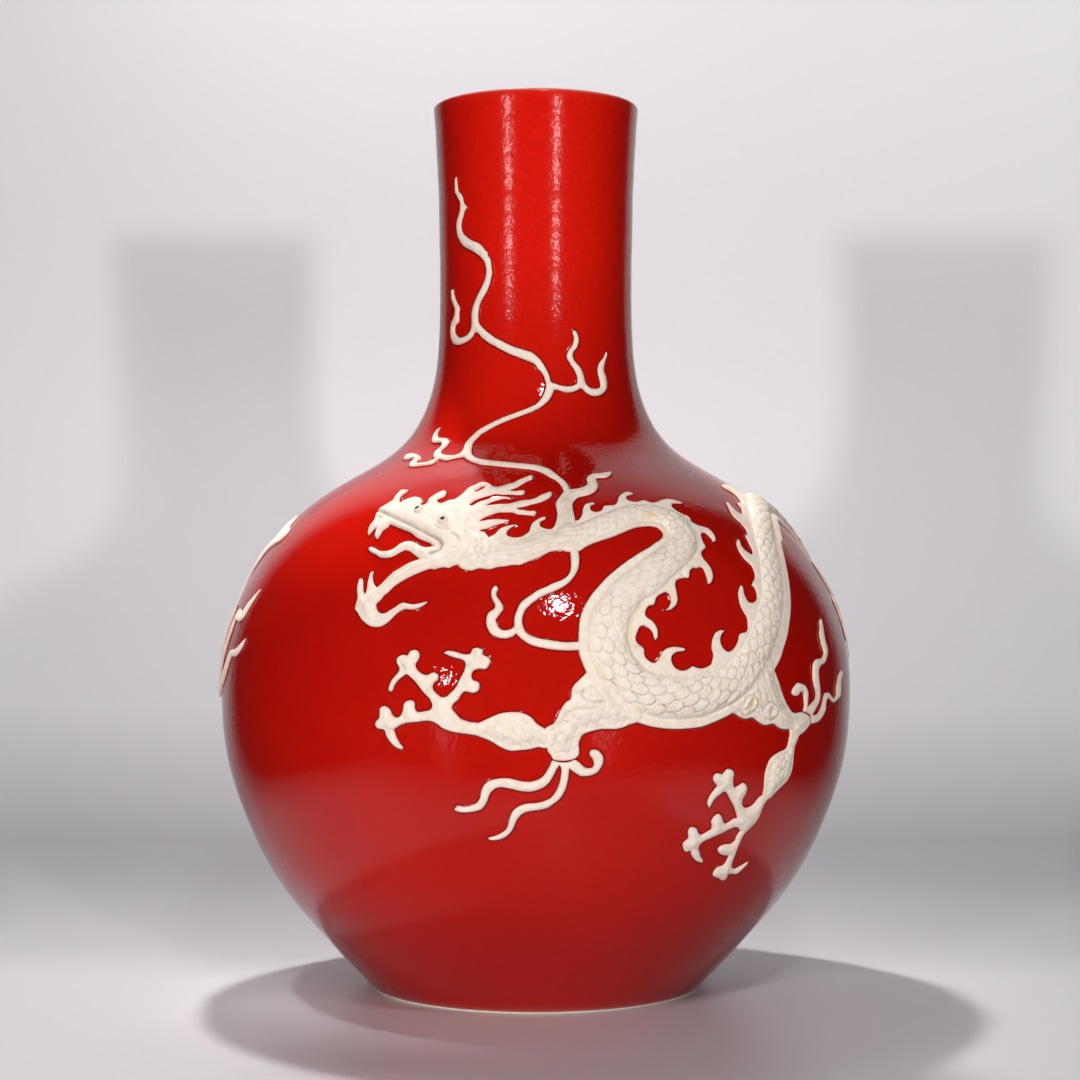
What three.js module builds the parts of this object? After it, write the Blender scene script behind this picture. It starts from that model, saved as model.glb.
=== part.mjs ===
// Celestial globe vase (tianqiuping) with a relief dragon, in millimetres, +Z up, origin under the foot.
// The front of the vase faces -Y and azimuth grows from the front towards +X.

import * as THREE from 'three';
import { TessellateModifier } from 'three/addons/modifiers/TessellateModifier.js';

// Sizes of the thrown body
const FOOT_RADIUS = 102.5;
const GLOBE_RADIUS = 199;
const NECK_RADIUS = 61.2;
const MOUTH_RADIUS = 65.1;
const GLOBE_LOWER_HEIGHT = 180;
const SHOULDER_HEIGHT = 268;
const NECK_TOP_HEIGHT = 112;
const WALL = 7;
const LIP_WIDTH = 5;
const FOOT_RING_WIDTH = 9;
const FOOT_RECESS = 8;
const FLOOR_THICKNESS = 9;
const FOOT_RISE = 24;

// Sizes of the applied relief
const CLEARANCE = 0.36;
const PLATE_HEIGHT = 2;
const STREAMER_HEIGHT = 2.4;
const LIMB_HEIGHT = 4;
const HEAD_HEIGHT = 4.6;
const JAW_HEIGHT = 3.4;
const TONGUE_HEIGHT = 2.2;
const FANG_HEIGHT = 2.6;
const BODY_HEIGHT = 6.4;
const TAIL_HEIGHT = 4.2;
const EYE_RADIUS = 2.9;

// The same vase as the photograph shows it, in pixels of the photograph, with the camera's distance
const photoPixels = {
  axisX: 535.8,
  horizonY: 570,
  footDrop: 413.5,
  camera: 2300,
  foot: 160.3,
  globe: 311.1,
  neck: 95.7,
  mouth: 101.8,
  lower: 281.4,
  shoulder: 419,
  top: 175.1,
};
const PHOTO_GAP = 0.5;
const PHOTO_PER_DEGREE = 5.4;
const PHOTO_LONGEST_EDGE = 25;
const PHOTO_NECK_EDGE = 13;
const PHOTO_STRAIGHT = 1.1;
const FIN_REACH = 22;

// The profile's stations: share of the height and share of the change in radius
const lowerShares = [
  [0, 0], [0.0667, 0.121], [0.183, 0.321], [0.322, 0.544], [0.461, 0.713], [0.6, 0.834], [0.806, 0.9596], [1, 1],
];
const shoulderShares = [
  [0.149, 0.981], [0.2425, 0.923], [0.336, 0.826], [0.429, 0.679], [0.4776, 0.57], [0.526, 0.423],
  [0.5746, 0.262], [0.623, 0.152], [0.6716, 0.0885], [0.765, 0.026], [0.858, 0.005], [1, 0],
];
const neckShares = [[0.241, 0.1], [0.464, 0.23], [0.6875, 0.5], [0.92, 0.92], [0.964, 1], [1, 1]];

const AROUND = 44;
const SHOULDER_JOINT_SHARE = 0.478;
const NECK_JOINT_SHARE = 0.85;
const TO_RADIANS = Math.PI / 180;

// A smooth curve of radius against height through the stations
function makeProfile(foot, globe, neck, mouth, lower, shoulder, top) {
  const heights = [];
  const radii = [];
  for (const [up, out] of lowerShares) {
    heights.push(up * lower);
    radii.push(foot + out * (globe - foot));
  }
  for (const [up, out] of shoulderShares) {
    heights.push(lower + up * shoulder);
    radii.push(neck + out * (globe - neck));
  }
  for (const [up, out] of neckShares) {
    heights.push(lower + shoulder + up * top);
    radii.push(neck + out * (mouth - neck));
  }
  const count = heights.length;
  const step = (i) => heights[i + 1] - heights[i];
  const rise = (i) => (radii[i + 1] - radii[i]) / step(i);
  const scale = new Array(count).fill(0);
  const bend = new Array(count).fill(0);
  for (let i = 1; i < count - 1; i += 1) {
    const pivot = 2 * (step(i - 1) + step(i)) - step(i - 1) * scale[i - 1];
    scale[i] = step(i) / pivot;
    bend[i] = (6 * (rise(i) - rise(i - 1)) - step(i - 1) * bend[i - 1]) / pivot;
  }
  for (let i = count - 2; i > 0; i -= 1) {
    bend[i] -= scale[i] * bend[i + 1];
  }
  const radiusAt = (height) => {
    let i = 0;
    while (i < count - 2 && heights[i + 1] < height) {
      i += 1;
    }
    const a = (heights[i + 1] - height) / step(i);
    const b = (height - heights[i]) / step(i);
    const curve = (a ** 3 - a) * bend[i] + (b ** 3 - b) * bend[i + 1];
    return a * radii[i] + b * radii[i + 1] + curve * step(i) ** 2 / 6;
  };
  const total = lower + shoulder + top;
  const slopeAt = (height) => {
    const reach = total / 2000;
    const low = Math.max(height - reach, 0);
    const high = Math.min(height + reach, total);
    return (radiusAt(high) - radiusAt(low)) / (high - low);
  };
  return { radiusAt, slopeAt, total, zones: [0, lower, lower + shoulder, total] };
}

const vase = makeProfile(
  FOOT_RADIUS, GLOBE_RADIUS, NECK_RADIUS, MOUTH_RADIUS, GLOBE_LOWER_HEIGHT, SHOULDER_HEIGHT, NECK_TOP_HEIGHT,
);
const photo = makeProfile(
  photoPixels.foot, photoPixels.globe, photoPixels.neck, photoPixels.mouth,
  photoPixels.lower, photoPixels.shoulder, photoPixels.top,
);

// A height on the photographed vase, carried over to the real one zone by zone
function realHeight(pixels) {
  let zone = 0;
  while (zone < 2 && photo.zones[zone + 1] < pixels) {
    zone += 1;
  }
  const share = (pixels - photo.zones[zone]) / (photo.zones[zone + 1] - photo.zones[zone]);
  return vase.zones[zone] + share * (vase.zones[zone + 1] - vase.zones[zone]);
}

// Where the line of sight through a pixel meets the vase: azimuth in degrees and height in pixels
function fromPhoto([x, y]) {
  let scale = 1 - photoPixels.globe / photoPixels.camera / 2;
  let sine = 0;
  let cosine = 0.6;
  let height = 0;
  for (let turn = 0; turn < 80; turn += 1) {
    height = photoPixels.footDrop + (photoPixels.horizonY - y) * scale;
    const radius = photo.radiusAt(Math.min(Math.max(height, 0), photo.total));
    sine = Math.min(Math.max((x - photoPixels.axisX) * scale / radius, -0.985), 0.985);
    cosine = (cosine + Math.sqrt(1 - sine * sine)) / 2;
    scale = 1 - radius * cosine / photoPixels.camera;
  }
  return [Math.asin(sine) / TO_RADIANS, height];
}

// Unrolled places: azimuth in degrees and height in photo pixels
const asDrawn = (point) => point;

// A point off the real surface, straight out from it
function onVase([azimuth, pixels], lift) {
  const height = Math.min(Math.max(realHeight(pixels), 0), vase.total);
  const slope = vase.slopeAt(height);
  const out = 1 / Math.hypot(1, slope);
  const radius = vase.radiusAt(height) + lift * out;
  const angle = azimuth * TO_RADIANS;
  return new THREE.Vector3(radius * Math.sin(angle), -radius * Math.cos(angle), height - lift * slope * out);
}

const GLAZE_RED = new THREE.Color(0xb01a10);
const BISCUIT = new THREE.Color(0xecdaca);
const PUPIL_DARK = new THREE.Color(0x3a2b25);

function material(color, roughness) {
  return new THREE.MeshStandardMaterial({ color, roughness, metalness: 0 });
}

const group = new THREE.Group();

// Turns every face outwards and adds the piece
function addPiece(name, geometry, color, roughness) {
  const solid = geometry.index ? geometry.toNonIndexed() : geometry;
  const place = solid.getAttribute('position');
  const corners = [new THREE.Vector3(), new THREE.Vector3(), new THREE.Vector3()];
  let volume = 0;
  for (let i = 0; i < place.count; i += 3) {
    corners.forEach((corner, k) => corner.fromBufferAttribute(place, i + k));
    volume += corners[0].dot(corners[1].clone().cross(corners[2]));
  }
  if (volume < 0) {
    for (let i = 0; i < place.count; i += 3) {
      corners.forEach((corner, k) => corner.fromBufferAttribute(place, i + k));
      place.setXYZ(i + 1, corners[2].x, corners[2].y, corners[2].z);
      place.setXYZ(i + 2, corners[1].x, corners[1].y, corners[1].z);
    }
  }
  solid.computeVertexNormals();
  const mesh = new THREE.Mesh(solid, material(color, roughness));
  mesh.name = name;
  group.add(mesh);
}

// The thrown body: rings turned from a closed profile
function addTurned(name, outline, color, roughness) {
  const points = outline.map(([radius, height]) => new THREE.Vector2(radius, height));
  const turned = new THREE.LatheGeometry(points, AROUND);
  turned.rotateX(Math.PI / 2);
  addPiece(name, turned, color, roughness);
}

const wallInside = (height) => vase.radiusAt(height) - WALL * Math.hypot(1, vase.slopeAt(height));

function between(low, high, rows, edge) {
  const points = [];
  for (let i = 0; i <= rows; i += 1) {
    const height = low + (high - low) * i / rows;
    points.push([edge(height), height]);
  }
  return points;
}

function section(low, high, outerRows, innerRows) {
  const outer = between(low, high, outerRows, vase.radiusAt);
  const inner = between(high, low, innerRows, wallInside);
  return [...outer, ...inner, outer[0]];
}

const WIDEST = vase.zones[1];
const SHOULDER_JOINT = WIDEST + SHOULDER_JOINT_SHARE * SHOULDER_HEIGHT;
const NECK_JOINT = WIDEST + NECK_JOINT_SHARE * SHOULDER_HEIGHT;
const FLOOR_TOP = FOOT_RECESS + FLOOR_THICKNESS;

addTurned('vase_foot', [
  [0, FOOT_RECESS],
  [FOOT_RADIUS - FOOT_RING_WIDTH - FOOT_RECESS / 2, FOOT_RECESS],
  [FOOT_RADIUS - FOOT_RING_WIDTH, 0],
  ...between(0, FOOT_RISE, 3, vase.radiusAt),
  [wallInside(FOOT_RISE), FOOT_RISE],
  [wallInside(FOOT_RISE) - (FOOT_RISE - FLOOR_TOP) * 2, FLOOR_TOP],
  [0, FLOOR_TOP],
], GLAZE_RED, 0.15);
addTurned('vase_lower_globe', section(FOOT_RISE, WIDEST, 8, 4), GLAZE_RED, 0.12);
addTurned('vase_upper_globe', section(WIDEST, SHOULDER_JOINT, 9, 4), GLAZE_RED, 0.12);
addTurned('vase_shoulder', section(SHOULDER_JOINT, NECK_JOINT, 13, 5), GLAZE_RED, 0.12);

const lipShares = [[1, 0.6], [0.78, 0.18], [0.5, 0], [0.22, 0.18], [0, 0.6]];
const lipInside = MOUTH_RADIUS - LIP_WIDTH;
addTurned('vase_neck', [
  ...between(NECK_JOINT, vase.total - LIP_WIDTH, 8, vase.radiusAt),
  ...lipShares.map(([out, down]) => [lipInside + out * LIP_WIDTH, vase.total - down * LIP_WIDTH]),
  ...between(vase.total - 2 * LIP_WIDTH, NECK_JOINT, 4, wallInside),
  [vase.radiusAt(NECK_JOINT), NECK_JOINT],
], GLAZE_RED, 0.12);

// Drops points of an outline that lie on a straight run
function eased(points) {
  const kept = [points[0]];
  for (let i = 1; i < points.length - 1; i += 1) {
    const [ax, ay] = kept[kept.length - 1];
    const [bx, by] = points[i];
    const [cx, cy] = points[i + 1];
    const run = Math.hypot(cx - ax, cy - ay);
    const off = Math.abs((bx - ax) * (cy - ay) - (by - ay) * (cx - ax)) / Math.max(run, PHOTO_GAP);
    if (off > PHOTO_STRAIGHT || run > PHOTO_LONGEST_EDGE) {
      kept.push(points[i]);
    }
  }
  kept.push(points[points.length - 1]);
  return kept;
}

// Shifts an open line sideways, to the left of its run when the distance is positive
function shifted(points, distance) {
  return points.map(([x, y], i) => {
    const [ax, ay] = points[Math.max(i - 1, 0)];
    const [bx, by] = points[Math.min(i + 1, points.length - 1)];
    const run = Math.hypot(bx - ax, by - ay);
    return [x + distance * (by - ay) / run, y - distance * (bx - ax) / run];
  });
}

// A flat slab of clay cut to an outline and laid on the vase
function addPlate(name, outline, height, toUnrolled = fromPhoto, stretch = 1, longest = PHOTO_LONGEST_EDGE) {
  const shape = new THREE.Shape(outline.map(([x, y]) => new THREE.Vector2(x * stretch, y)));
  const slab = new THREE.ExtrudeGeometry(shape, { depth: 1, steps: 1, bevelEnabled: false });
  const fine = new TessellateModifier(longest, 8).modify(slab);
  const place = fine.getAttribute('position');
  for (let i = 0; i < place.count; i += 1) {
    const lift = place.getZ(i) > 0.5 ? CLEARANCE + height : CLEARANCE;
    const point = onVase(toUnrolled([place.getX(i) / stretch, place.getY(i)]), lift);
    place.setXYZ(i, point.x, point.y, point.z);
  }
  addPiece(name, fine, BISCUIT, 0.85);
}

// Across a rounded band: share of the width and share of the height
const domeShares = [[0, 0.3], [0.22, 0.88], [0.5, 1], [0.78, 0.88], [1, 0.3]];
const flatShares = [[0, 1], [1, 1]];

// A rolled band of clay laid on the vase between two edges with matching points
function addBand(name, firstEdge, secondEdge, height, toUnrolled = fromPhoto, across = domeShares) {
  const rows = firstEdge.map((point, i) => [toUnrolled(point), toUnrolled(secondEdge[i])]);
  const along = rows.length - 1;
  const wide = across.length - 1;
  const bar = new THREE.BoxGeometry(1, 1, 1, along, wide, 1);
  const place = bar.getAttribute('position');
  for (let i = 0; i < place.count; i += 1) {
    const row = Math.round((place.getX(i) + 0.5) * along);
    const column = Math.round((place.getY(i) + 0.5) * wide);
    const [[azimuthA, heightA], [azimuthB, heightB]] = rows[row];
    const [share, tall] = across[column];
    const spot = [azimuthA + share * (azimuthB - azimuthA), heightA + share * (heightB - heightA)];
    const lift = place.getZ(i) > 0 ? CLEARANCE + height * tall : CLEARANCE;
    const point = onVase(spot, lift);
    place.setXYZ(i, point.x, point.y, point.z);
  }
  addPiece(name, bar, BISCUIT, 0.85);
}

// Part of a pair of edges, from one station to another, ending half a gap short of each
function stretchOf(pairs, from, to) {
  const part = pairs.slice(from, to + 1).map(([a, b]) => [[...a], [...b]]);
  const trim = (end, next) => [0, 1].forEach((k) => {
    const dx = next[k][0] - end[k][0];
    const dy = next[k][1] - end[k][1];
    const run = Math.hypot(dx, dy);
    end[k][0] += dx * PHOTO_GAP / run;
    end[k][1] += dy * PHOTO_GAP / run;
  });
  trim(part[0], part[1]);
  trim(part[part.length - 1], part[part.length - 2]);
  return [part.map(([a]) => a), part.map(([, b]) => b)];
}

// Edges either side of a middle line given as azimuth, height in pixels and half width in pixels
function edgesOf(middle) {
  const pairs = middle.map(([azimuth, height, half], i) => {
    const before = middle[Math.max(i - 1, 0)];
    const after = middle[Math.min(i + 1, middle.length - 1)];
    const radius = photo.radiusAt(height);
    const climb = Math.hypot(1, photo.slopeAt(height));
    const across = (after[0] - before[0]) * TO_RADIANS * radius;
    const up = (after[1] - before[1]) * climb;
    const run = Math.hypot(across, up);
    const sideAzimuth = half * up / run / radius / TO_RADIANS;
    const sideHeight = half * across / run / climb;
    return [[azimuth - sideAzimuth, height + sideHeight], [azimuth + sideAzimuth, height - sideHeight]];
  });
  return pairs;
}

// The scaled body on the front: the back edge and the belly edge, in pixels of the photograph
const bodyPixels = [
  [[575, 525], [578, 551]], [[590, 519], [590, 544.5]], [[600, 514.5], [602, 540]], [[612, 510.5], [613, 536.5]],
  [[624, 506.5], [624, 532]], [[636, 505], [635, 527.5]], [[648, 505], [645, 526]], [[660, 507], [652, 526]],
  [[672, 511], [658, 527.5]], [[683, 518], [661.5, 531]], [[691, 528], [663, 534.5]], [[696, 538], [662, 537.5]],
  [[697, 547], [659, 540.5]], [[694, 556], [655, 543]], [[688, 564], [648, 548]], [[680, 572], [640, 552.5]],
  [[672, 579], [632, 557.5]], [[664, 587], [624, 563]], [[656, 594], [615, 570]], [[647, 599], [607, 577]],
  [[641, 604], [600, 584.5]], [[636, 611], [593, 592.5]], [[631.5, 619], [587, 601.5]], [[629, 627], [583, 609.5]],
  [[628.5, 635], [580, 618]], [[629, 641], [579, 627]], [[630.5, 647], [578.5, 637]], [[633, 653], [578.5, 647]],
  [[637, 659.5], [580, 656]], [[642, 665], [584, 667]], [[647, 669.5], [590, 679]], [[653, 672.5], [598, 691]],
  [[660, 674], [608, 703]], [[668, 675.5], [620, 713]], [[676, 676], [634, 721]], [[685, 676], [650, 726.5]],
  [[694, 675], [667, 729]], [[703, 673.5], [684, 729]], [[712, 670.5], [701, 727]], [[720, 667], [717, 721]],
  [[727, 662], [731, 714]], [[733, 656], [744, 706]], [[738, 650], [754, 697]], [[742, 643], [762, 687]],
  [[746, 636], [769, 677]], [[749, 629], [775, 668.5]], [[751.5, 621], [780, 659]], [[754.5, 612.5], [783.5, 648]],
  [[757.5, 604], [787, 636]], [[759.5, 595], [789, 624]], [[760, 586], [790.3, 612]], [[759.5, 577], [790.5, 600]],
  [[758.8, 568], [789.5, 588]], [[757.5, 558], [788, 577]], [[756, 548], [786, 566]], [[753.5, 538], [783.5, 555]],
  [[751, 528], [781, 544]],
];

// The scaled body round the side and back: azimuth, height and half width
const backSpine = [
  [60.7, 454, 22], [64, 461.5, 21.5], [67.8, 467.5, 21], [72.5, 472.5, 20.5], [78, 473.5, 20], [83, 469, 20.5],
  [87.5, 460, 21], [91.3, 448, 21.5], [94.5, 434, 22], [97.3, 418, 22], [99.7, 401, 22], [101.8, 384, 22],
  [103.5, 366, 22], [105.3, 348, 22], [107.8, 330, 22.5], [111.3, 313, 23], [116, 298, 23.5], [122, 286, 24],
  [129.5, 277, 24.5], [138, 271, 25], [147, 267.5, 25], [156, 266, 25], [165, 267, 25], [174, 270, 24.5],
  [182.5, 275, 24], [190.5, 282, 23.5], [198, 291, 23], [205, 302, 22.5], [211, 314.5, 22], [216, 328.5, 21.5],
  [220, 344, 21], [223, 360, 20], [225, 376, 19], [226, 392, 18], [225.5, 408, 17], [223, 423, 16],
  [218.5, 436, 15], [212, 445, 14], [204.5, 449, 13], [197, 447.5, 12], [190.5, 441, 11], [186, 431, 10],
  [184, 419.5, 9], [185, 408.5, 8], [188.5, 399.5, 7], [193.5, 394.5, 6],
];
const BACK_STEPS = 62;
const backCurve = new THREE.CatmullRomCurve3(
  backSpine.map(([azimuth, height, half]) => new THREE.Vector3(azimuth * PHOTO_PER_DEGREE, height, half)),
);
const backPairs = edgesOf(
  backCurve.getSpacedPoints(BACK_STEPS).map(({ x, y, z }) => [x / PHOTO_PER_DEGREE, y, z]),
);
const bodyPairs = [...bodyPixels.map((pair) => pair.map(fromPhoto)), ...backPairs];
const FRONT_LAST = bodyPixels.length;
const bodySegments = [
  ['body_arch', 0, 9, BODY_HEIGHT],
  ['body_bend', 9, 20, BODY_HEIGHT],
  ['body_shoulder', 20, 32, BODY_HEIGHT],
  ['body_belly', 32, 42, BODY_HEIGHT],
  ['body_rise', 42, FRONT_LAST - 1, BODY_HEIGHT],
  ['body_crest', FRONT_LAST - 1, FRONT_LAST + 8, BODY_HEIGHT],
  ['body_descent', FRONT_LAST + 8, FRONT_LAST + 17, BODY_HEIGHT],
  ['body_low_bend', FRONT_LAST + 17, FRONT_LAST + 33, BODY_HEIGHT],
  ['body_back_rise', FRONT_LAST + 33, FRONT_LAST + 44, BODY_HEIGHT],
  ['tail', FRONT_LAST + 44, FRONT_LAST + BACK_STEPS, TAIL_HEIGHT],
];

// Half a gap in unrolled units along a pair of edges
function unrolledStretch(pairs, from, to) {
  const scaled = pairs.map((pair) => pair.map(([azimuth, height]) => [azimuth * PHOTO_PER_DEGREE, height]));
  const edges = stretchOf(scaled, from, to);
  return edges.map((edge) => edge.map(([x, y]) => [x / PHOTO_PER_DEGREE, y]));
}
for (const [name, from, to, height] of bodySegments) {
  const [back, belly] = unrolledStretch(bodyPairs, from, to);
  addBand(name, back, belly, height, asDrawn);
}

// A line just clear of one edge of the body round the side and back: side 0 is the back, side 1 the belly
const beside = (side, from, to) => backPairs.slice(from, to + 1).map((pair) => {
  const edge = pair[side];
  const other = pair[1 - side];
  const dx = (edge[0] - other[0]) * PHOTO_PER_DEGREE;
  const dy = edge[1] - other[1];
  const run = Math.hypot(dx, dy);
  return [edge[0] + PHOTO_GAP * dx / run / PHOTO_PER_DEGREE, edge[1] + PHOTO_GAP * dy / run];
});

// The flat fringe of flame fins along the back of the body
const backEdge = bodyPixels.map(([back]) => back);
const fringes = [
  ['fringe_arch', 0, 9, [
    [574.5, 521], [577, 520.5], [580, 518], [582, 514], [583, 508], [585, 504.5], [589, 503], [593, 502.5], [595, 503.5],
    [592, 504.5], [590.5, 508], [592, 511], [595, 512], [599, 511.5], [602, 509.5], [604, 506], [607, 505.5], [614, 505],
    [617, 502], [618, 498], [620, 495], [623, 493], [627, 492], [634, 493.5], [630, 494.5], [627, 496], [626.5, 498],
    [628, 500.5], [631, 501.5], [636, 502], [644, 500.5], [651, 502.5], [655, 502.5], [658, 501.5], [662, 500],
    [667, 499], [672, 499.5], [677, 501], [684, 503], [680, 503], [673, 503.5], [671.5, 505], [672.5, 507.5],
    [675, 510], [679, 512.5], [684, 514.5],
  ]],
  ['fringe_bend', 10, 15, [
    [690.5, 519], [691, 521], [697, 525], [704, 527], [708, 528.5], [711, 531], [713.5, 534], [715, 537], [715.5, 541],
    [713, 541.5], [711.5, 538.5], [709, 535.5], [706, 533], [703, 532.5], [701, 535], [701.5, 538], [703, 542],
    [705.5, 548], [703, 550], [701.5, 553], [702, 556], [704, 559.5], [707, 563], [710, 567], [712, 571], [713, 576],
    [712.5, 580], [711, 583], [708, 583.5], [707.5, 580], [706.5, 576], [705, 571.5], [703, 568], [700.5, 567],
    [697, 568], [694, 567.5], [691.5, 569], [690, 571], [689.5, 574], [689, 577.5], [685, 577.5],
  ]],
  ['fringe_hollow', 16, 26, [
    [679, 579], [677, 580], [675.5, 583], [676.5, 591], [677.5, 596], [677.5, 602], [675.5, 606], [672, 609],
    [668, 610], [665, 609.5], [668, 608], [670, 605], [671, 601], [670.5, 597], [668.5, 593], [666, 592], [662, 593.5],
    [658, 596], [656, 599], [654.5, 604], [649, 606], [646.5, 609], [645.5, 613], [646, 616], [649, 618.5],
    [652, 620.5], [655, 624], [657.5, 629], [658, 634], [657.5, 638], [655.5, 640], [654, 637], [653, 633],
    [650.5, 629.5], [647, 627], [643, 625.5], [640, 627], [638, 631], [636.5, 635], [636, 638], [637, 642],
    [640, 645], [643, 647],
  ]],
  ['fringe_belly', 27, 38, [
    [644.5, 650], [644.5, 653], [645.5, 657], [649, 660.5], [653, 662.5], [655.5, 662.5], [657.5, 660.5], [659.5, 658],
    [661, 655], [663, 651.5], [665, 649.5], [669, 647.5], [674, 646.5], [679, 647], [684, 648], [686, 649.5],
    [684, 651], [680, 651.5], [676, 652.5], [673, 655], [671.5, 658.5], [672, 662], [674, 666], [677.5, 669],
    [682, 670.5], [686, 670], [690, 668], [693, 666], [695.5, 667], [699, 668], [704, 668], [708, 666.5],
  ]],
  ['fringe_rise', 39, 47, [
    [711, 664.5], [712.5, 661], [713.5, 656], [712, 647], [712.5, 641], [713.5, 637], [715.5, 633], [719, 630.5],
    [723, 630], [725, 631], [722, 634], [720.5, 638], [720.5, 642], [722, 646], [725, 650], [729, 651.5], [733, 649.5],
    [736.5, 645], [738.5, 640], [740, 634], [743, 632.5], [746, 632], [748, 629], [748, 624], [747, 617], [744, 612],
  ]],
  ['fringe_crest', 48, 56, [
    [742.5, 609], [742, 608], [740, 603], [739, 598], [738.5, 594], [739, 590], [740, 587], [741, 585], [742.5, 587],
    [744, 594], [746, 598.5], [748, 601.5], [751, 602.5], [755, 601.5], [757, 599], [757, 594], [756, 590],
    [754.5, 587], [752, 585], [753, 582], [755, 578], [755, 574], [754, 570], [752, 566], [749, 562.5], [745, 559],
    [742, 555], [740, 552], [738, 548], [737, 545], [736.5, 542], [738, 539], [739.5, 541], [741, 545], [743.5, 549],
    [747, 552], [750, 554], [752.5, 554], [752.5, 550], [751, 546.5], [749, 543], [747, 538.5], [745.5, 536],
    [747.5, 534], [747, 531], [744.5, 527], [741, 523],
  ]],
];
for (const [name, from, to, outer] of fringes) {
  const inner = shifted(backEdge.slice(from, to + 1), PHOTO_GAP);
  addPlate(name, [...eased(outer), ...inner.reverse()], PLATE_HEIGHT);
}
const crestFins = eased([
  [749.8, 526.4], [740.4, 522], [738, 520], [734, 516.5], [731, 512], [729, 508], [727, 504], [726, 502.5],
  [727.5, 502], [730, 505], [733, 508.5], [737, 512], [741, 514], [742, 511], [740, 506], [738, 504], [741, 502],
  [739, 498], [735, 494], [731, 491], [726, 488.5], [722.5, 486], [724, 484.5], [727, 485], [733, 488], [739, 492],
]);
addPlate('fringe_top', [
  ...crestFins.map(fromPhoto), ...beside(0, 0, 3).reverse(),
], PLATE_HEIGHT, asDrawn, PHOTO_PER_DEGREE);

// Fins round the side and back: distance along the edge and distance out from it, as shares of one fin
const finShares = [[0.02, 0.22], [0.4, 0.6], [0.94, 1], [0.7, 0.7], [0.6, 0.42], [0.66, 0.24], [0.98, 0.22]];
function addBackFringe(name, from, to, fins, reach) {
  const line = backPairs.slice(from, to + 1);
  const spot = (along, out) => {
    const place = Math.min(Math.max(along, 0), 1) * (line.length - 1);
    const i = Math.min(Math.floor(place), line.length - 2);
    const part = place - i;
    const mix = (a, b) => a.map((value, k) => value + part * (b[k] - value));
    const [azimuth, height] = mix(line[i][0], line[i + 1][0]);
    const [bellyAzimuth, bellyHeight] = mix(line[i][1], line[i + 1][1]);
    const dx = (azimuth - bellyAzimuth) * PHOTO_PER_DEGREE;
    const dy = height - bellyHeight;
    const run = Math.hypot(dx, dy);
    return [azimuth + out * dx / run / PHOTO_PER_DEGREE, height + out * dy / run];
  };
  const outer = [];
  for (let fin = 0; fin < fins; fin += 1) {
    for (const [along, out] of finShares) {
      outer.push(spot((fin + along) / fins, out * reach));
    }
  }
  const inner = line.map((pair, i) => spot(i / (line.length - 1), PHOTO_GAP));
  addPlate(name, [...outer, ...inner.reverse()], PLATE_HEIGHT, asDrawn, PHOTO_PER_DEGREE);
}
addBackFringe('fringe_low_bend', 17, 31, 6, FIN_REACH);
addBackFringe('fringe_back_rise', 34, 48, 6, FIN_REACH);

// The neck behind the head, narrowing to where the scales begin
addBand('dragon_neck', [
  [488, 538.5], [497, 535], [505, 535], [514, 538], [522, 537], [530, 532.5], [541, 529.5], [549, 530], [556, 523],
  [565, 522], [573.5, 522.5],
], [
  [461, 566], [473, 569.5], [484, 568], [496, 566.5], [508, 565], [520, 563.5], [531, 560], [541, 556], [552, 551],
  [563, 550], [573.5, 551.5],
], LIMB_HEIGHT);
addPlate('neck_fin_front', eased([
  [491, 535], [494, 533.5], [498, 530], [502, 527.5], [508, 525.5], [514, 524.5], [518, 524], [513, 526], [510, 528],
  [507, 532], [506, 533.8], [497, 533.8],
]), PLATE_HEIGHT);
addPlate('neck_fin_rear', eased([
  [524, 534], [525, 533.5], [529, 530], [530, 528], [531, 525], [533, 522.5], [537, 519.5], [541, 517.5], [545, 516.5],
  [546, 518], [544, 519.5], [541, 521], [540, 523.5], [541, 526.5], [542, 528], [536, 529.5], [530, 531.2],
]), PLATE_HEIGHT);

// The head
addPlate('dragon_skull', eased([
  [375, 518], [376, 514], [380, 508], [385, 505], [393, 500], [394, 498], [398, 493], [401, 490], [406, 489.5],
  [409, 490], [405, 493], [401, 496], [400, 498], [400, 503], [403, 501], [410, 498], [418, 497], [422, 499],
  [423, 501], [420, 504], [424, 505], [427, 503], [431, 497], [436, 494], [441, 491.5], [446, 491], [446, 494],
  [440, 498], [437, 500], [438, 502], [442, 503], [450, 500], [458, 497], [461.5, 495], [465, 499], [467, 505],
  [471, 512], [476, 520], [477, 526], [478, 531], [484, 532], [486, 535], [484, 540], [474, 548], [462, 554],
  [453, 552], [449, 548.5], [443, 545], [435, 544.5], [430, 542.5], [420, 538], [410, 531], [400, 527], [390, 523.5],
  [383, 522],
]), HEAD_HEIGHT);
addPlate('dragon_jaw', eased([
  [419, 560.5], [412, 562.5], [405, 566], [400, 569], [390, 576], [385, 581], [380, 586], [377, 588], [375, 586],
  [373, 581], [373.5, 571], [369, 577], [367.5, 583], [365.5, 593.5], [363, 588], [362.5, 580], [361.5, 578],
  [358, 583], [357, 588], [357, 600], [355, 608], [359, 616], [365, 623], [370, 626], [376, 627], [385, 624],
  [395, 615], [405, 609], [415, 609], [420, 607], [428, 601], [418, 603.5], [407, 603], [400, 603.5], [390, 610],
  [381, 613], [377.5, 610.5], [376, 604], [383, 596], [393, 587], [400, 582], [413, 575], [425, 570], [434, 569],
  [449, 567.5], [456, 565.5], [459, 560], [457, 555.5], [449, 551.5], [443, 548.5], [437, 553], [430, 556.5],
]), JAW_HEIGHT);
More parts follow.
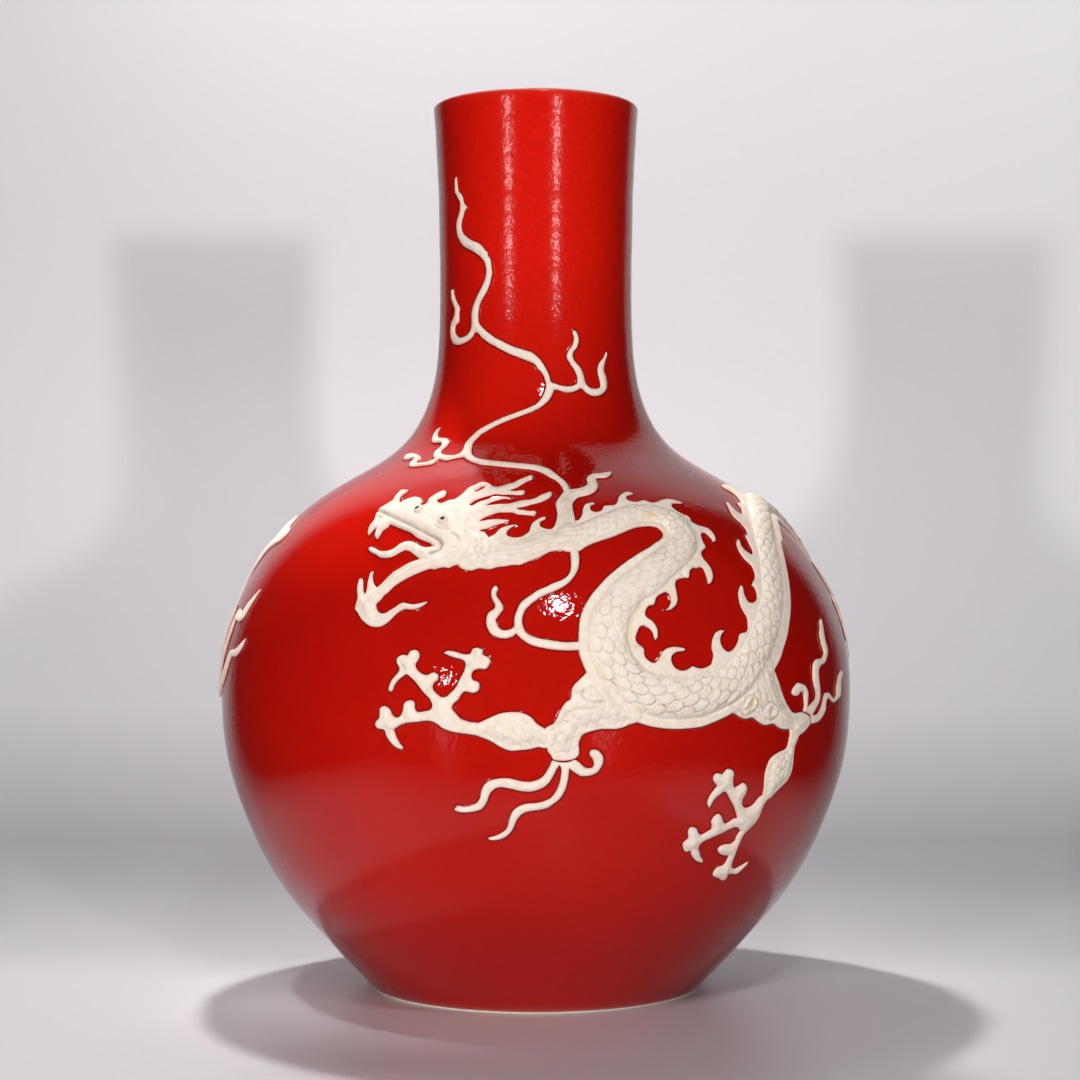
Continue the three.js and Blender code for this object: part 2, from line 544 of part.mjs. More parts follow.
addPlate('dragon_tongue', eased([
  [431, 547], [428, 547.5], [418, 544.5], [410, 541.5], [405, 542], [400, 544], [395, 548], [390, 550.5], [380, 551],
  [370, 547.5], [368, 549], [375, 553.5], [380, 556.5], [390, 556.5], [400, 551.5], [408, 550], [416, 555],
  [419, 557.5], [430, 553.5], [436, 550.5],
]), TONGUE_HEIGHT);
addPlate('fang_front', [
  [374, 522], [370, 526], [368, 532], [368, 535.5], [371, 532], [374, 529], [377, 526], [377.5, 522.8],
], FANG_HEIGHT);
addPlate('fang_rear', [
  [379, 525], [376.5, 531], [375, 537], [377, 539], [380, 535], [383, 530], [387, 526.5], [387, 524],
], FANG_HEIGHT);
function addEye(name, middle, share) {
  const ball = new THREE.SphereGeometry(EYE_RADIUS * share, 10, 6);
  const seat = onVase(fromPhoto(middle), CLEARANCE + HEAD_HEIGHT + CLEARANCE + EYE_RADIUS * share);
  ball.translate(seat.x, seat.y, seat.z);
  addPiece(name, ball, PUPIL_DARK, 0.4);
}
addEye('eye_near', [444, 524], 1);
addEye('eye_far', [421, 512], 0.8);
addPlate('mane_lock_1', eased([
  [463, 494.5], [466, 490], [470, 487], [480, 482.5], [485, 482], [490, 484], [495, 487], [500, 486.5], [512, 483],
  [520, 479.5], [532, 475], [533, 477], [532, 479], [522, 484], [509, 489.5], [515, 491], [524, 490.5], [525, 492],
  [523, 494], [500, 494], [490, 495], [475, 500], [469, 504],
]), PLATE_HEIGHT);
addPlate('mane_lock_2', eased([
  [470.5, 506.5], [475, 504.3], [485, 500.5], [496, 497], [507, 497], [513, 499], [503, 498.5], [497, 500],
  [490, 502.5], [485, 504.3], [475, 508], [473, 509.8],
]), PLATE_HEIGHT);
addPlate('mane_lock_3', eased([
  [474, 511], [480, 507.5], [487, 505.5], [500, 504], [510, 503.5], [525, 500], [532, 499], [546, 493], [551, 491.5],
  [552, 493.5], [550, 497], [547, 499], [532, 504], [517, 507.5], [524, 510], [535, 511], [536.5, 512.5],
  [534, 515], [525, 514.5], [512, 512], [500, 512], [492, 514], [482, 517.5], [478.5, 519.5],
]), PLATE_HEIGHT);
addPlate('mane_lock_4', eased([
  [479.5, 522.5], [484, 520.7], [490, 519.5], [498, 519], [510, 520], [502, 523], [495, 525], [488, 528],
  [481, 530], [479.5, 527],
]), PLATE_HEIGHT);

// The long streamers that spring from the neck
addPlate('crest_horn', eased([
  [556.8, 521.5], [557, 512], [556, 507], [555.5, 503], [557, 500], [560, 496], [564, 492.8], [570, 490.3],
  [575, 489], [580, 488], [584, 486.5], [587, 484], [586.5, 478], [588, 476], [592, 474], [597, 473.5], [607, 472],
  [612, 471], [611, 474], [605, 477.5], [597, 478], [596.5, 481], [598, 485], [597, 489], [594, 492], [590, 494],
  [585, 495.5], [577, 498], [575, 500], [573, 503], [573, 507], [574, 512], [574, 519.5], [573.5, 521.3],
]), STREAMER_HEIGHT, fromPhoto, 1, PHOTO_NECK_EDGE);
const streamerUpper = [
  [[564, 491.5], [569.5, 488.7]], [[561, 486], [567, 483]], [[555, 479.5], [560, 477]], [[547, 475], [551, 470]],
  [[537, 470.5], [540, 466]], [[520, 468], [522, 463.7]], [[500, 466], [501, 461.5]], [[482, 464.3], [483, 459.6]],
  [[471, 461.5], [475, 457]], [[464.5, 456.5], [472, 453]], [[463, 448], [471.7, 448]], [[467, 441], [474, 441]],
  [[473, 435], [480, 435]], [[481, 428.5], [487, 430.5]], [[490, 423.5], [495, 426]], [[504, 417], [508, 420.5]],
  [[520, 411], [523, 415]], [[533, 405.5], [538, 408.5]], [[540, 400], [548, 401.5]], [[544.5, 391], [553.7, 392]],
  [[545.8, 383], [551.8, 382]], [[542.5, 374.5], [549.5, 375]], [[538, 369], [545.5, 367]], [[531.5, 363], [539, 358]],
  [[520, 358], [528, 351]], [[507, 353], [514, 346.7]], [[494, 346], [500, 340]], [[484, 340], [490, 334]],
  [[474.5, 331], [480, 324.5]], [[471.5, 320], [478, 316]], [[473, 306], [479.5, 305]], [[479, 292], [485.5, 293.5]],
  [[484.7, 278], [491, 279]], [[485.3, 267], [491.4, 266]], [[480.5, 257.5], [487.5, 253]], [[473, 251.5], [481, 245]],
  [[465, 247], [471, 240]], [[459, 239.5], [463, 233.7]], [[456.7, 229], [461, 226]], [[458.8, 215], [463.5, 214]],
  [[460.2, 206], [465.5, 206.5]], [[457.5, 197], [461.8, 196]], [[455.2, 189], [457.8, 189]], [[455.6, 177], [456.6, 177]],
];
function bandOf(name, pairs, height, shares, place = fromPhoto) {
  const first = [pairs[0][0]];
  const second = [pairs[0][1]];
  for (let i = 1; i < pairs.length; i += 1) {
    const [[ax, ay], [bx, by]] = [pairs[i - 1][0], pairs[i][0]];
    const [[cx, cy], [dx, dy]] = [pairs[i - 1][1], pairs[i][1]];
    const run = Math.max(Math.hypot(bx - ax, by - ay), Math.hypot(dx - cx, dy - cy));
    const steps = Math.ceil(run / PHOTO_NECK_EDGE);
    for (let step = 1; step <= steps; step += 1) {
      first.push([ax + (bx - ax) * step / steps, ay + (by - ay) * step / steps]);
      second.push([cx + (dx - cx) * step / steps, cy + (dy - cy) * step / steps]);
    }
  }
  addBand(name, first, second, height, place, shares);
}
bandOf('streamer_upper', streamerUpper, STREAMER_HEIGHT, flatShares);
addPlate('streamer_branch_right', eased([
  [552.4, 382.5], [556, 383.5], [560, 385], [565, 386], [570, 386], [574, 385], [577, 383], [577.5, 380], [577, 376],
  [575, 371], [569, 362], [567, 358], [567, 354], [569, 350], [572, 346], [574, 338], [573, 331], [574, 330],
  [576, 331], [578, 335], [579, 339], [578.5, 344], [577, 348], [574, 352], [573, 355], [574, 359], [580, 367],
  [582.5, 371], [584, 376], [585, 381], [587, 385], [590, 387.5], [595, 388.5], [600, 387], [600.5, 385], [600, 381],
  [598, 373], [598, 368], [599, 364], [604, 357], [606.5, 351], [607, 354], [605, 362], [604, 370], [606.5, 379],
  [607, 384], [606.5, 389], [604.5, 392.5], [601, 395], [597, 396], [592, 395.5], [587, 393], [581, 388.5],
  [578, 390], [573, 392], [568, 392.5], [563, 391.5], [558, 390], [554.8, 389.7],
]), STREAMER_HEIGHT, fromPhoto, 1, PHOTO_NECK_EDGE);
addPlate('streamer_branch_left', eased([
  [470.9, 328.5], [470, 331], [468, 334], [464, 336.5], [460, 337.5], [457, 336], [454.5, 330.5], [455, 327], [458.5, 322],
  [459, 312], [459.5, 309], [456, 301], [453.5, 293], [453, 289.5], [451.5, 289.5], [451.5, 298], [455, 311],
  [454.5, 315], [451.5, 323], [450.5, 333], [451, 338], [452, 341], [454, 344], [457, 345], [461, 344.5],
  [466, 342], [470, 339.5], [473.2, 335.5], [474.5, 333],
]), STREAMER_HEIGHT, fromPhoto, 1, PHOTO_NECK_EDGE);
addPlate('streamer_branch_low', eased([
  [462.3, 450.5], [459, 454], [455, 455.5], [450, 455.5], [442, 453.5], [441, 452], [442, 450], [447, 445.5],
  [449, 442.5], [449, 440], [447, 438.5], [438, 437], [437.5, 435], [438, 432], [440.5, 427], [438.5, 428.5],
  [434, 434], [432.5, 437], [432, 442], [441, 443], [441.5, 445], [434, 453], [433, 456], [434, 459.5], [431, 461],
  [423, 463], [416.5, 462.5], [418, 460], [421, 457], [419, 455.5], [407, 455], [405, 456], [404, 459.5],
  [413, 458], [414, 459], [410, 463], [409, 466], [420, 465.5], [432, 463.5], [439, 458.5], [445, 460],
  [455, 458], [463.2, 456.8],
]), STREAMER_HEIGHT, fromPhoto, 1, PHOTO_NECK_EDGE);
bandOf('streamer_lower', [
  [[570, 552.5], [578.2, 552.7]], [[571, 562], [579.5, 562]], [[569, 573], [577, 572]], [[562, 579.5], [570, 581.5]],
  [[551, 584], [558, 589.5]], [[538, 590], [545, 595]], [[527, 597], [533, 602.5]], [[519, 605], [526, 609]],
  [[515, 615], [523, 616]], [[514, 627], [523, 625]], [[518.5, 636], [526, 632]], [[526, 642], [532, 636]],
  [[537, 647], [541, 638.5]], [[552, 649.5], [554, 640.8]], [[565, 650.3], [566, 642]], [[576.7, 650.3], [576.7, 641.5]],
], STREAMER_HEIGHT, flatShares);
bandOf('streamer_lower_curl', [
  [[517.5, 634.8], [513, 628.5]], [[512, 637], [508.5, 629.5]], [[503, 638.3], [503, 630]], [[495, 636.5], [499, 627.5]],
  [[489, 631.5], [496.5, 622]], [[486, 624], [496, 619]], [[487, 615], [498.5, 616.5]], [[491.5, 610], [501.5, 612]],
  [[495, 606], [503, 606]], [[492, 599], [501, 601.5]], [[490.8, 593], [496.5, 593]], [[493, 587], [498, 588]],
], STREAMER_HEIGHT, flatShares);

// The left foreleg
const leftJoint = [[588.2, 678.3], [590, 681.5], [597.3, 692.2], [607.5, 704.3], [619.5, 714.3], [633, 721.7]];
addPlate('foreleg_left_upper', [
  ...eased([
    [628, 725.5], [625, 727], [618, 729], [600, 729.5], [592, 731.5], [587, 733], [583, 735], [580, 740], [579, 744],
    [579.5, 750], [579, 755], [575.5, 758.5], [569, 760.5], [561, 761], [552.5, 759], [551, 756], [548, 752],
    [546.5, 745], [545, 736], [545.3, 728.3], [549, 726], [553, 724], [557, 718], [560.5, 710], [563, 706],
    [566, 702], [570.5, 699], [571, 697], [572, 689], [574, 685], [577, 682],
  ]),
  ...leftJoint,
], LIMB_HEIGHT);
bandOf('foreleg_left_forearm', [
  [[543.8, 728], [545, 749.5]], [[538, 724.5], [539, 747.5]], [[530, 716.5], [530, 749.5]], [[520, 712.5], [520, 750.5]],
  [[510, 712], [510, 751]], [[500, 713.5], [500, 747]], [[490, 717.5], [490, 741]], [[477.8, 723], [477, 736]],
], LIMB_HEIGHT, domeShares);
const pawLeft = eased([
  [477, 722.5], [470, 722], [465, 720.5], [461, 719], [457, 715], [452, 707], [453.5, 704], [458, 700], [461, 695],
  [464, 692], [474, 693], [478, 691], [479.5, 687], [479, 683], [476, 681], [473, 680], [471.5, 677], [472, 673],
  [475, 670], [480, 669], [486, 669], [489, 665], [490.5, 660], [488, 657], [482.5, 654], [483, 650], [480, 648],
  [476, 647.5], [472, 649], [470, 653.5], [466, 654], [453, 651], [446, 651], [443, 653], [452, 657], [465, 663],
  [465, 666], [459, 680], [455, 688], [450, 693], [446, 696.5], [441, 697], [438, 695], [432.5, 687], [434, 683],
  [437.5, 680], [438.5, 676], [436, 673], [432, 672.5], [428, 674.5], [424, 674.5], [419, 671.5], [416, 668],
  [415.5, 664], [418, 660], [419.5, 655], [418, 651], [414, 649.5], [410, 651], [407.5, 655], [403, 654.5],
  [399, 656], [396.5, 659], [397, 664], [399, 668], [391, 681], [388.5, 688], [389, 692], [392, 691], [394, 686],
  [402, 677], [406, 674.5], [411, 678], [422, 691], [431, 702], [432, 706], [430, 709.5], [425, 711], [416, 711],
  [414.5, 708], [414.5, 703], [412, 700.5], [408, 700.5], [405, 702], [403, 706], [402, 712], [400, 716],
  [396, 717.5], [392, 715], [390, 710], [387, 707], [383.5, 706], [380, 708], [379.5, 713], [379, 718], [376, 721],
  [375, 725], [377, 728], [384.5, 730.5], [386, 735], [393, 745], [398, 748.5], [402, 750], [403, 748], [400, 744],
  [394.5, 732], [394, 730], [397, 727.5], [402, 724.5], [418, 722], [426, 721], [431, 721.5], [436, 723.5],
  [441, 727.5], [447, 730.5], [455, 732.5], [465, 734], [476, 735.5],
]);
addPlate('foreleg_left_paw', pawLeft, LIMB_HEIGHT);
const ribbonsLeft = eased([
  [551, 763], [548, 769], [545, 774], [541, 778], [536, 780.5], [530, 782], [522, 781.5], [508, 778.5], [500, 778.5],
  [494, 779.5], [488, 781.5], [484, 785], [481.5, 790], [479, 800], [476, 803.5], [470, 806], [463, 807], [457, 806],
  [454, 810], [457, 811.5], [470, 812.5], [476, 811.5], [482, 809], [486, 804], [491.5, 792], [495, 789],
  [500, 787.5], [508, 788.5], [522, 791.5], [530, 792], [537, 790.5], [543, 788], [549, 783], [553, 777],
  [556.5, 770], [559.5, 765.5], [561, 768], [561, 775], [560, 781], [555, 793], [551, 798], [545, 801], [538, 803],
  [524, 804.5], [518, 807], [513, 811], [510, 817], [505.5, 830], [500, 834], [487, 838.5], [490, 840], [502, 839],
  [508, 835.5], [512, 831], [518, 819], [522, 814.5], [528, 812], [541, 810], [548, 808], [554, 804], [560, 799],
  [564.5, 792], [567, 785], [568.5, 778], [569.5, 768.5], [572, 771], [576, 773.5], [580, 776], [586, 776.5],
  [592, 775.5], [597, 773], [601, 768], [603.5, 762], [603, 756], [600, 752], [597, 750], [590, 751.5],
  [589.5, 753], [593, 760], [594, 764], [593, 767], [585, 767.5], [582, 765], [578, 761.5], [575.5, 760],
  [570, 761.8], [561, 762.5], [552, 760.3],
]);
addPlate('foreleg_left_ribbons', ribbonsLeft, STREAMER_HEIGHT);

// The right foreleg
addPlate('foreleg_right_upper', [
  ...eased([
    [736, 714.5], [741, 717.5], [745, 719], [753, 718], [756, 720], [760, 723], [764, 725], [775, 724.5], [778, 727],
    [782, 729], [790, 729.5], [790.3, 736], [794, 737], [798.6, 736.5], [800, 735], [803, 733], [808, 727],
    [810, 723.5], [810, 718], [806, 713.5], [802, 712], [796, 713], [792, 711.5], [789.5, 708], [786, 702],
    [783.5, 696], [781, 689], [779, 682], [777, 677],
  ]),
  [775.6, 670.2], [769.6, 678.3], [762.7, 688.3], [754.7, 698.5], [745, 707.3],
], LIMB_HEIGHT);
bandOf('foreleg_right_forearm', [
  [[789.5, 737.8], [798, 738.5]], [[787.5, 747], [795, 746]], [[779, 752.5], [793.8, 754]], [[771, 758.5], [793, 763]],
  [[766.5, 769], [791.5, 771.5]], [[764.5, 780], [787.5, 780]], [[764.3, 787], [780, 788]], [[764.5, 793.5], [773.5, 794.5]],
], LIMB_HEIGHT, domeShares);
addPlate('foreleg_right_paw', eased([
  [763.5, 794.7], [760, 797], [753, 805], [750, 807], [746, 808], [743, 806], [742, 802], [743, 798], [745, 795],
  [746.5, 791], [747, 787], [745.5, 784], [743, 783], [740, 785], [735, 788], [733.5, 785], [733.5, 777], [734, 774],
  [733, 770.5], [730, 769], [727, 769.5], [723, 774], [717, 773.5], [714, 776], [713.5, 780], [717.5, 786],
  [712, 793], [708, 801], [708, 806], [709.5, 808], [714, 800], [718, 796], [724, 792], [731, 801], [735, 809],
  [737.5, 818], [734, 819], [728, 823], [726, 824], [723.5, 822], [721.5, 816], [719, 814], [713, 818.5],
  [711.5, 822], [712, 826], [711.5, 829.5], [700, 834.5], [698, 832], [697, 829], [694, 827.5], [690, 828],
  [688.5, 831], [688, 839], [683.5, 843], [683, 847], [686, 852], [690, 851], [691.5, 855], [694, 859], [698, 862],
  [702, 863], [703, 861], [701, 857], [699.5, 852], [699.5, 845], [702, 842.5], [711, 838], [722, 833], [731, 828.5],
  [734, 827.5], [738, 828], [740.5, 831], [736.5, 837], [735, 841], [732, 843.5], [724, 845], [720, 847], [718, 850],
  [719, 853], [722, 855], [729, 855.5], [728, 858], [724, 865], [717, 868], [714.5, 871], [713, 875], [719, 878.5],
  [722, 880.5], [725, 879.5], [728.5, 874.5], [736, 874], [742, 869], [749.5, 861], [741, 866], [734, 869],
  [732, 867], [736, 852], [740, 842], [744, 834], [750, 828], [757, 820], [760, 814], [764, 804], [768, 799],
  [772.5, 796],
]), LIMB_HEIGHT);
addPlate('foreleg_right_ribbons', eased([
  [803, 711], [804, 709], [804, 698], [803, 693], [801, 692], [798, 695.5], [794, 695.5], [792, 693], [792.5, 690],
  [795, 686], [798, 683], [802, 683.5], [805.5, 686], [808, 692], [808, 699], [807, 708], [810, 705], [816, 696],
  [814, 684], [813, 677], [813, 670], [813.5, 664], [815.5, 660], [822.5, 657], [824, 652], [822.5, 647],
  [819.5, 633], [820, 628], [819.5, 622], [821, 618], [822.5, 625], [825, 640], [827.5, 652], [826.5, 658],
  [824.5, 663], [820.5, 666], [819, 669], [820, 690], [820, 695], [819, 701], [816, 708], [812.3, 715.5],
  [817.5, 714], [821, 708], [825.5, 693], [828, 692.5], [834.5, 698], [836.5, 694], [836.5, 688], [838.5, 677],
  [839.5, 673], [842, 671], [842.5, 673], [840.5, 684], [840.5, 690], [840, 696], [837, 699.5], [834, 702.5],
  [828, 698.5], [826.5, 700], [825, 711], [822, 717], [819, 721], [815, 723], [811.2, 724], [811.2, 717.5],
]), STREAMER_HEIGHT);

// The hind leg by the right side, then the one by the left side: azimuth and height
addPlate('hindleg_right', [
  ...beside(1, 11, 15), [103, 306], [99, 302], [95, 303], [91.5, 308],
  [89, 316], [88, 326], [87.6, 338], [87, 350], [86, 362], [86.6, 372], [84.5, 371], [82.2, 362], [80.8, 349],
  [79.9, 345], [80.6, 358], [81, 370], [80.2, 382], [81.4, 387], [83.6, 386], [82.2, 396], [80.8, 408], [79.6, 420],
  [82.2, 412], [85, 404], [87.4, 398], [89.6, 404], [89, 414], [90.6, 418], [92.4, 412], [92.6, 402], [92.4, 392],
  [93.4, 386],
], PLATE_HEIGHT, asDrawn, PHOTO_PER_DEGREE);
addPlate('hindleg_left_upper', [
  ...beside(1, 44, 46), [231, 367], [234.5, 368], [239, 361], [244, 350], [249, 337], [254, 322],
  [259.6, 304.5], [267.2, 301.6], [271, 297], [272, 290], [269.5, 284], [265, 279.5], [259, 278], [252, 280],
  [245, 285], [238, 293], [231, 301], [225.5, 310],
], LIMB_HEIGHT, asDrawn, PHOTO_PER_DEGREE);
bandOf('hindleg_left_forearm', [
  [[260.2, 306.5], [266.8, 304]], [[258.8, 320], [268.3, 317]], [[259.5, 336], [269.8, 334]],
  [[262, 352], [270.8, 351]], [[265, 368], [271.6, 368]], [[267.6, 384], [272.4, 384]], [[269, 398], [273, 398]],
], LIMB_HEIGHT, domeShares, asDrawn);
addPlate('hindleg_left_paw', [
  [269, 399.5], [268.3, 408], [266, 415], [262, 420], [257, 424], [252.5, 430], [251, 437], [254.5, 441], [258, 436],
  [262, 431], [266.5, 429], [267.5, 437], [266.6, 446], [264.4, 453], [266, 459], [270, 460], [272.4, 454],
  [272.6, 445], [274.5, 438], [278, 441], [282, 447], [281, 456], [282, 466], [284.5, 460], [286, 455], [289, 453],
  [290.4, 448], [289.6, 442], [286.6, 438], [282.5, 434], [279, 426], [276.4, 416], [274.2, 407], [273, 399.5],
], PLATE_HEIGHT, asDrawn, PHOTO_PER_DEGREE);
addPlate('hindleg_left_ribbons', [
  [273, 292], [274.2, 300], [275.6, 318], [278.6, 340], [281, 360], [282.8, 378], [282, 359], [280, 340],
  [277.4, 318], [276.8, 304], [279.6, 318], [283, 337], [285.2, 354], [286.3, 370], [288.2, 376], [290.6, 373],
  [293.4, 384], [296.8, 396.5], [294.6, 380], [292.6, 367], [289.6, 364], [287.6, 367], [286.8, 353],
  [284.9, 337], [281.8, 318], [279.8, 303.5], [284.6, 315], [287.4, 326], [289.8, 336.5], [293, 338.5],
  [295.2, 343], [297.6, 349.5], [296.2, 339], [293.6, 331.5], [291, 331], [289.4, 322], [286.6, 309],
  [281.6, 297], [277.6, 290], [273.2, 287],
], STREAMER_HEIGHT, asDrawn, PHOTO_PER_DEGREE);
addPlate('tail_tuft', [
  [195.2, 400], [198, 404], [203, 409], [210, 411], [206, 405], [203, 400], [207, 401], [213, 398], [207, 395],
  [204, 392], [209, 389], [213, 383], [206, 384], [201, 387], [203, 380], [203, 373], [198, 380], [195.5, 388],
], PLATE_HEIGHT, asDrawn, PHOTO_PER_DEGREE);

export default group;
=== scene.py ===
"""A tianqiuping vase in ruby glaze with a white biscuit dragon in relief, dressed for the camera."""
import math

import bpy
import numpy as np
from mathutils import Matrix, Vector, kdtree
from mathutils.geometry import delaunay_2d_cdt


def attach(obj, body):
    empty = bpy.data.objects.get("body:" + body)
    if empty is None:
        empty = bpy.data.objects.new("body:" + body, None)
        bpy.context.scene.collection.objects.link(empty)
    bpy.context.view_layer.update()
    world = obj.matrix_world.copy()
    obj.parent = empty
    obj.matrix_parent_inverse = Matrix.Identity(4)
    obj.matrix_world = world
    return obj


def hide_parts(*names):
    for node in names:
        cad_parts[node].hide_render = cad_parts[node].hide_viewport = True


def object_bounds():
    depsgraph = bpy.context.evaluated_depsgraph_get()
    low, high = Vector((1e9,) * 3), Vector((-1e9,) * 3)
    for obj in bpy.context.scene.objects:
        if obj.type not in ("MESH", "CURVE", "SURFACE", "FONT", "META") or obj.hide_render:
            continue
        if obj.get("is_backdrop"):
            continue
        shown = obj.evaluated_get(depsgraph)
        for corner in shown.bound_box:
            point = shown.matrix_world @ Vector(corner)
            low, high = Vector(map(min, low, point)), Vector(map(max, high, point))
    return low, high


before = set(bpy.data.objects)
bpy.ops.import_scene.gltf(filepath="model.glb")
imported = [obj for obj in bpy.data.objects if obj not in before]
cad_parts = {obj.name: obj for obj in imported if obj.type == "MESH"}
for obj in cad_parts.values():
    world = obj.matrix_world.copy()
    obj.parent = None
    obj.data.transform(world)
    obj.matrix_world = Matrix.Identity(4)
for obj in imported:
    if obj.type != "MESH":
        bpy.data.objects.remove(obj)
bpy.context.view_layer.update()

# Measures of the photograph, in its pixels: its size, the vase's axis, the camera's height and distance,
# the vase's radii and the heights of its three stretches
PHOTO_SIZE = 1080
AXIS_X = 535.8
HORIZON = 570.0
FOOT_DROP = 413.5
CAMERA = 2300.0
FOOT, GLOBE, NECK_R, MOUTH = 160.3, 311.1, 95.7, 101.8
LOWER, SHOULDER, TOP = 281.4, 419.0, 175.1
TALL = LOWER + SHOULDER + TOP
# The real height in metres gives the size of a pixel, and the pixels in a millimetre
REAL_HEIGHT = 0.56
PX = REAL_HEIGHT / TALL
MM = 0.001 / PX

# Outlines of the relief on the side that faces the camera, in pixels of the photograph
DRAGON_HEAD = """
375,518 376,514 380,508 385,505 390,502 393,500 394,498 398,493 401,490 406,489.5 409,490 405,493 401,496
400,498 400,503 403,501 406,499.5 410,498 414,497 418,497 422,499 423,501 420,504 424,505 427,503 428,500
431,497 436,494 441,491.5 444,490.5 446,491 446,494 444,496.5 440,498 437,500 438,502 442,503 446,501.5
450,500 455,499 458,497 462,494 466,490 470,487 475,485 480,482.5 485,482 490,484 495,487 500,486.5 505,485
512,483 520,479.5 527,476.5 532,475 533,477 532,479 528,480.5 522,484 516,487.5 509,489.5 515,491 520,490.5
524,490.5 525,492 523,494 518,494.5 510,494 500,494 497,493.5 490,495 480,498 475,500 471,503 469,505
472,505.5 475,504 480,501.5 485,500 490,498.5 495,497.5 500,496.5 507,497 513,499 503,498.5 497,500
490,502.5 485,505.5 490,505 500,504 510,503.5 517,501.5 525,500 532,499 540,495.5 546,493 551,491.5
552,493.5 550,497 547,499 540,502 532,504 525,506 517,507.5 518,509 524,510 530,511 535,511 536.5,512.5
534,515 530,515 525,514.5 518,514 512,512 505,512 500,512 492,514 487,516 482,518.5 479,521.5 484,520.5
490,519.5 498,519 505,519.5 510,520 507,521.5 502,523 495,525 488,528 480,530.5 480,531.2 484,531.5
487,534.5 489,537.5 493,546 493,556 488,569 484,568.5 480,568 477,568.5 473,570 468,570 463,569 459,566.5
457,564.5 455,565 452,566 449,567.5 444,567 440,567.5 434,569 430,568.5 425,570 420,572 413,575 407,578
400,582 393,587 388,592 383,596 381,599 379,601 376,604 376,606 377.5,610.5 381,613 386,612.5 390,610
395,607 400,603.5 403,602.5 407,603 412,604 418,603.5 424,602 428,601 425,604 420,607 415,609 410,609.5
405,609 400,611 395,615 390,620 385,624 380,626.5 376,627 370,626 365,623 361,619 359,616 357,612 355,610
355.5,605 357,600 357,588 358,583 359.5,579 361.5,578 362.5,580 363,588 364,593 365.5,593.5 366.5,590
367.5,583 369,577 371,572 373.5,571 372.5,576 373,581 375,585.5 377,587 380,585 385,580 390,575 395,571
400,568 405,565 412,561.5 418,559.5 424,557.5 430,555.5 435,552 436,549 433,546 430,543 425,541 420,539
415,536 410,532 405,530 400,528 395,526 390,524 384,523 379,522 375,520.5
"""
FANG_FRONT = """
375,518 374,521 370,526 368,532 368,535.5 371,532 374,529 378,527 380,521 379,517
"""
FANG_REAR = """
379,520 378,524 376,531 375,537 377,539 380,535 383,530 388,526.5 390,523 386,518
"""
TONGUE = """
441,546 432,546 428,547 422,546 418,544 413,541.5 410,541 405,541.5 400,543.5 395,547.5 390,550 385,551
380,550.5 375,548 370,547 368,549 370,551.5 375,554 380,557 385,557.5 390,557 395,555 400,552 405,550
408,550.5 412,553 416,556 419,558.5 425,562 438,560 444,553
"""
NECK = """
474,548 482,541 490,536.5 494,534.5 498,530.5 502,527.5 508,525.5 514,524.5 518,524 513,526 510,528 507,532
507,534.5 510,536.5 515,537.5 520,537 525,534.5 529,531 530,528 531,525 533,522.5 537,519.5 541,517.5
545,516.5 546,518 544,519.5 541,521 540,523.5 541,526.5 544,528 548,529 552,528.5 554,526 556,521 557,516
557,512 556,507 555.5,503 557,500 560,496 564,491.5 570,489.5 575,489 580,488 584,486.5 587,484 587,481
586.5,478 588,476 592,474 597,473.5 602,473 607,472 612,471 611,474 608,476.5 605,477.5 600,477.5 597,478
596.5,481 598,485 597,489 594,492 590,494 585,495.5 580,496.5 577,498 575,500 573,503 573,507 574,512
575,517 576,521.5 583,528 586,536 585,547 578,551.3 569,551.3 565,550.5 560,550 555,550.5 550,551.5 545,554
540,556.5 535,558.5 530,560.5 525,562.5 520,564.5 515,564.5 510,565 505,566 500,566.5 496,567 492,568.5
488,569 484,568.5 479,566 474,559
"""
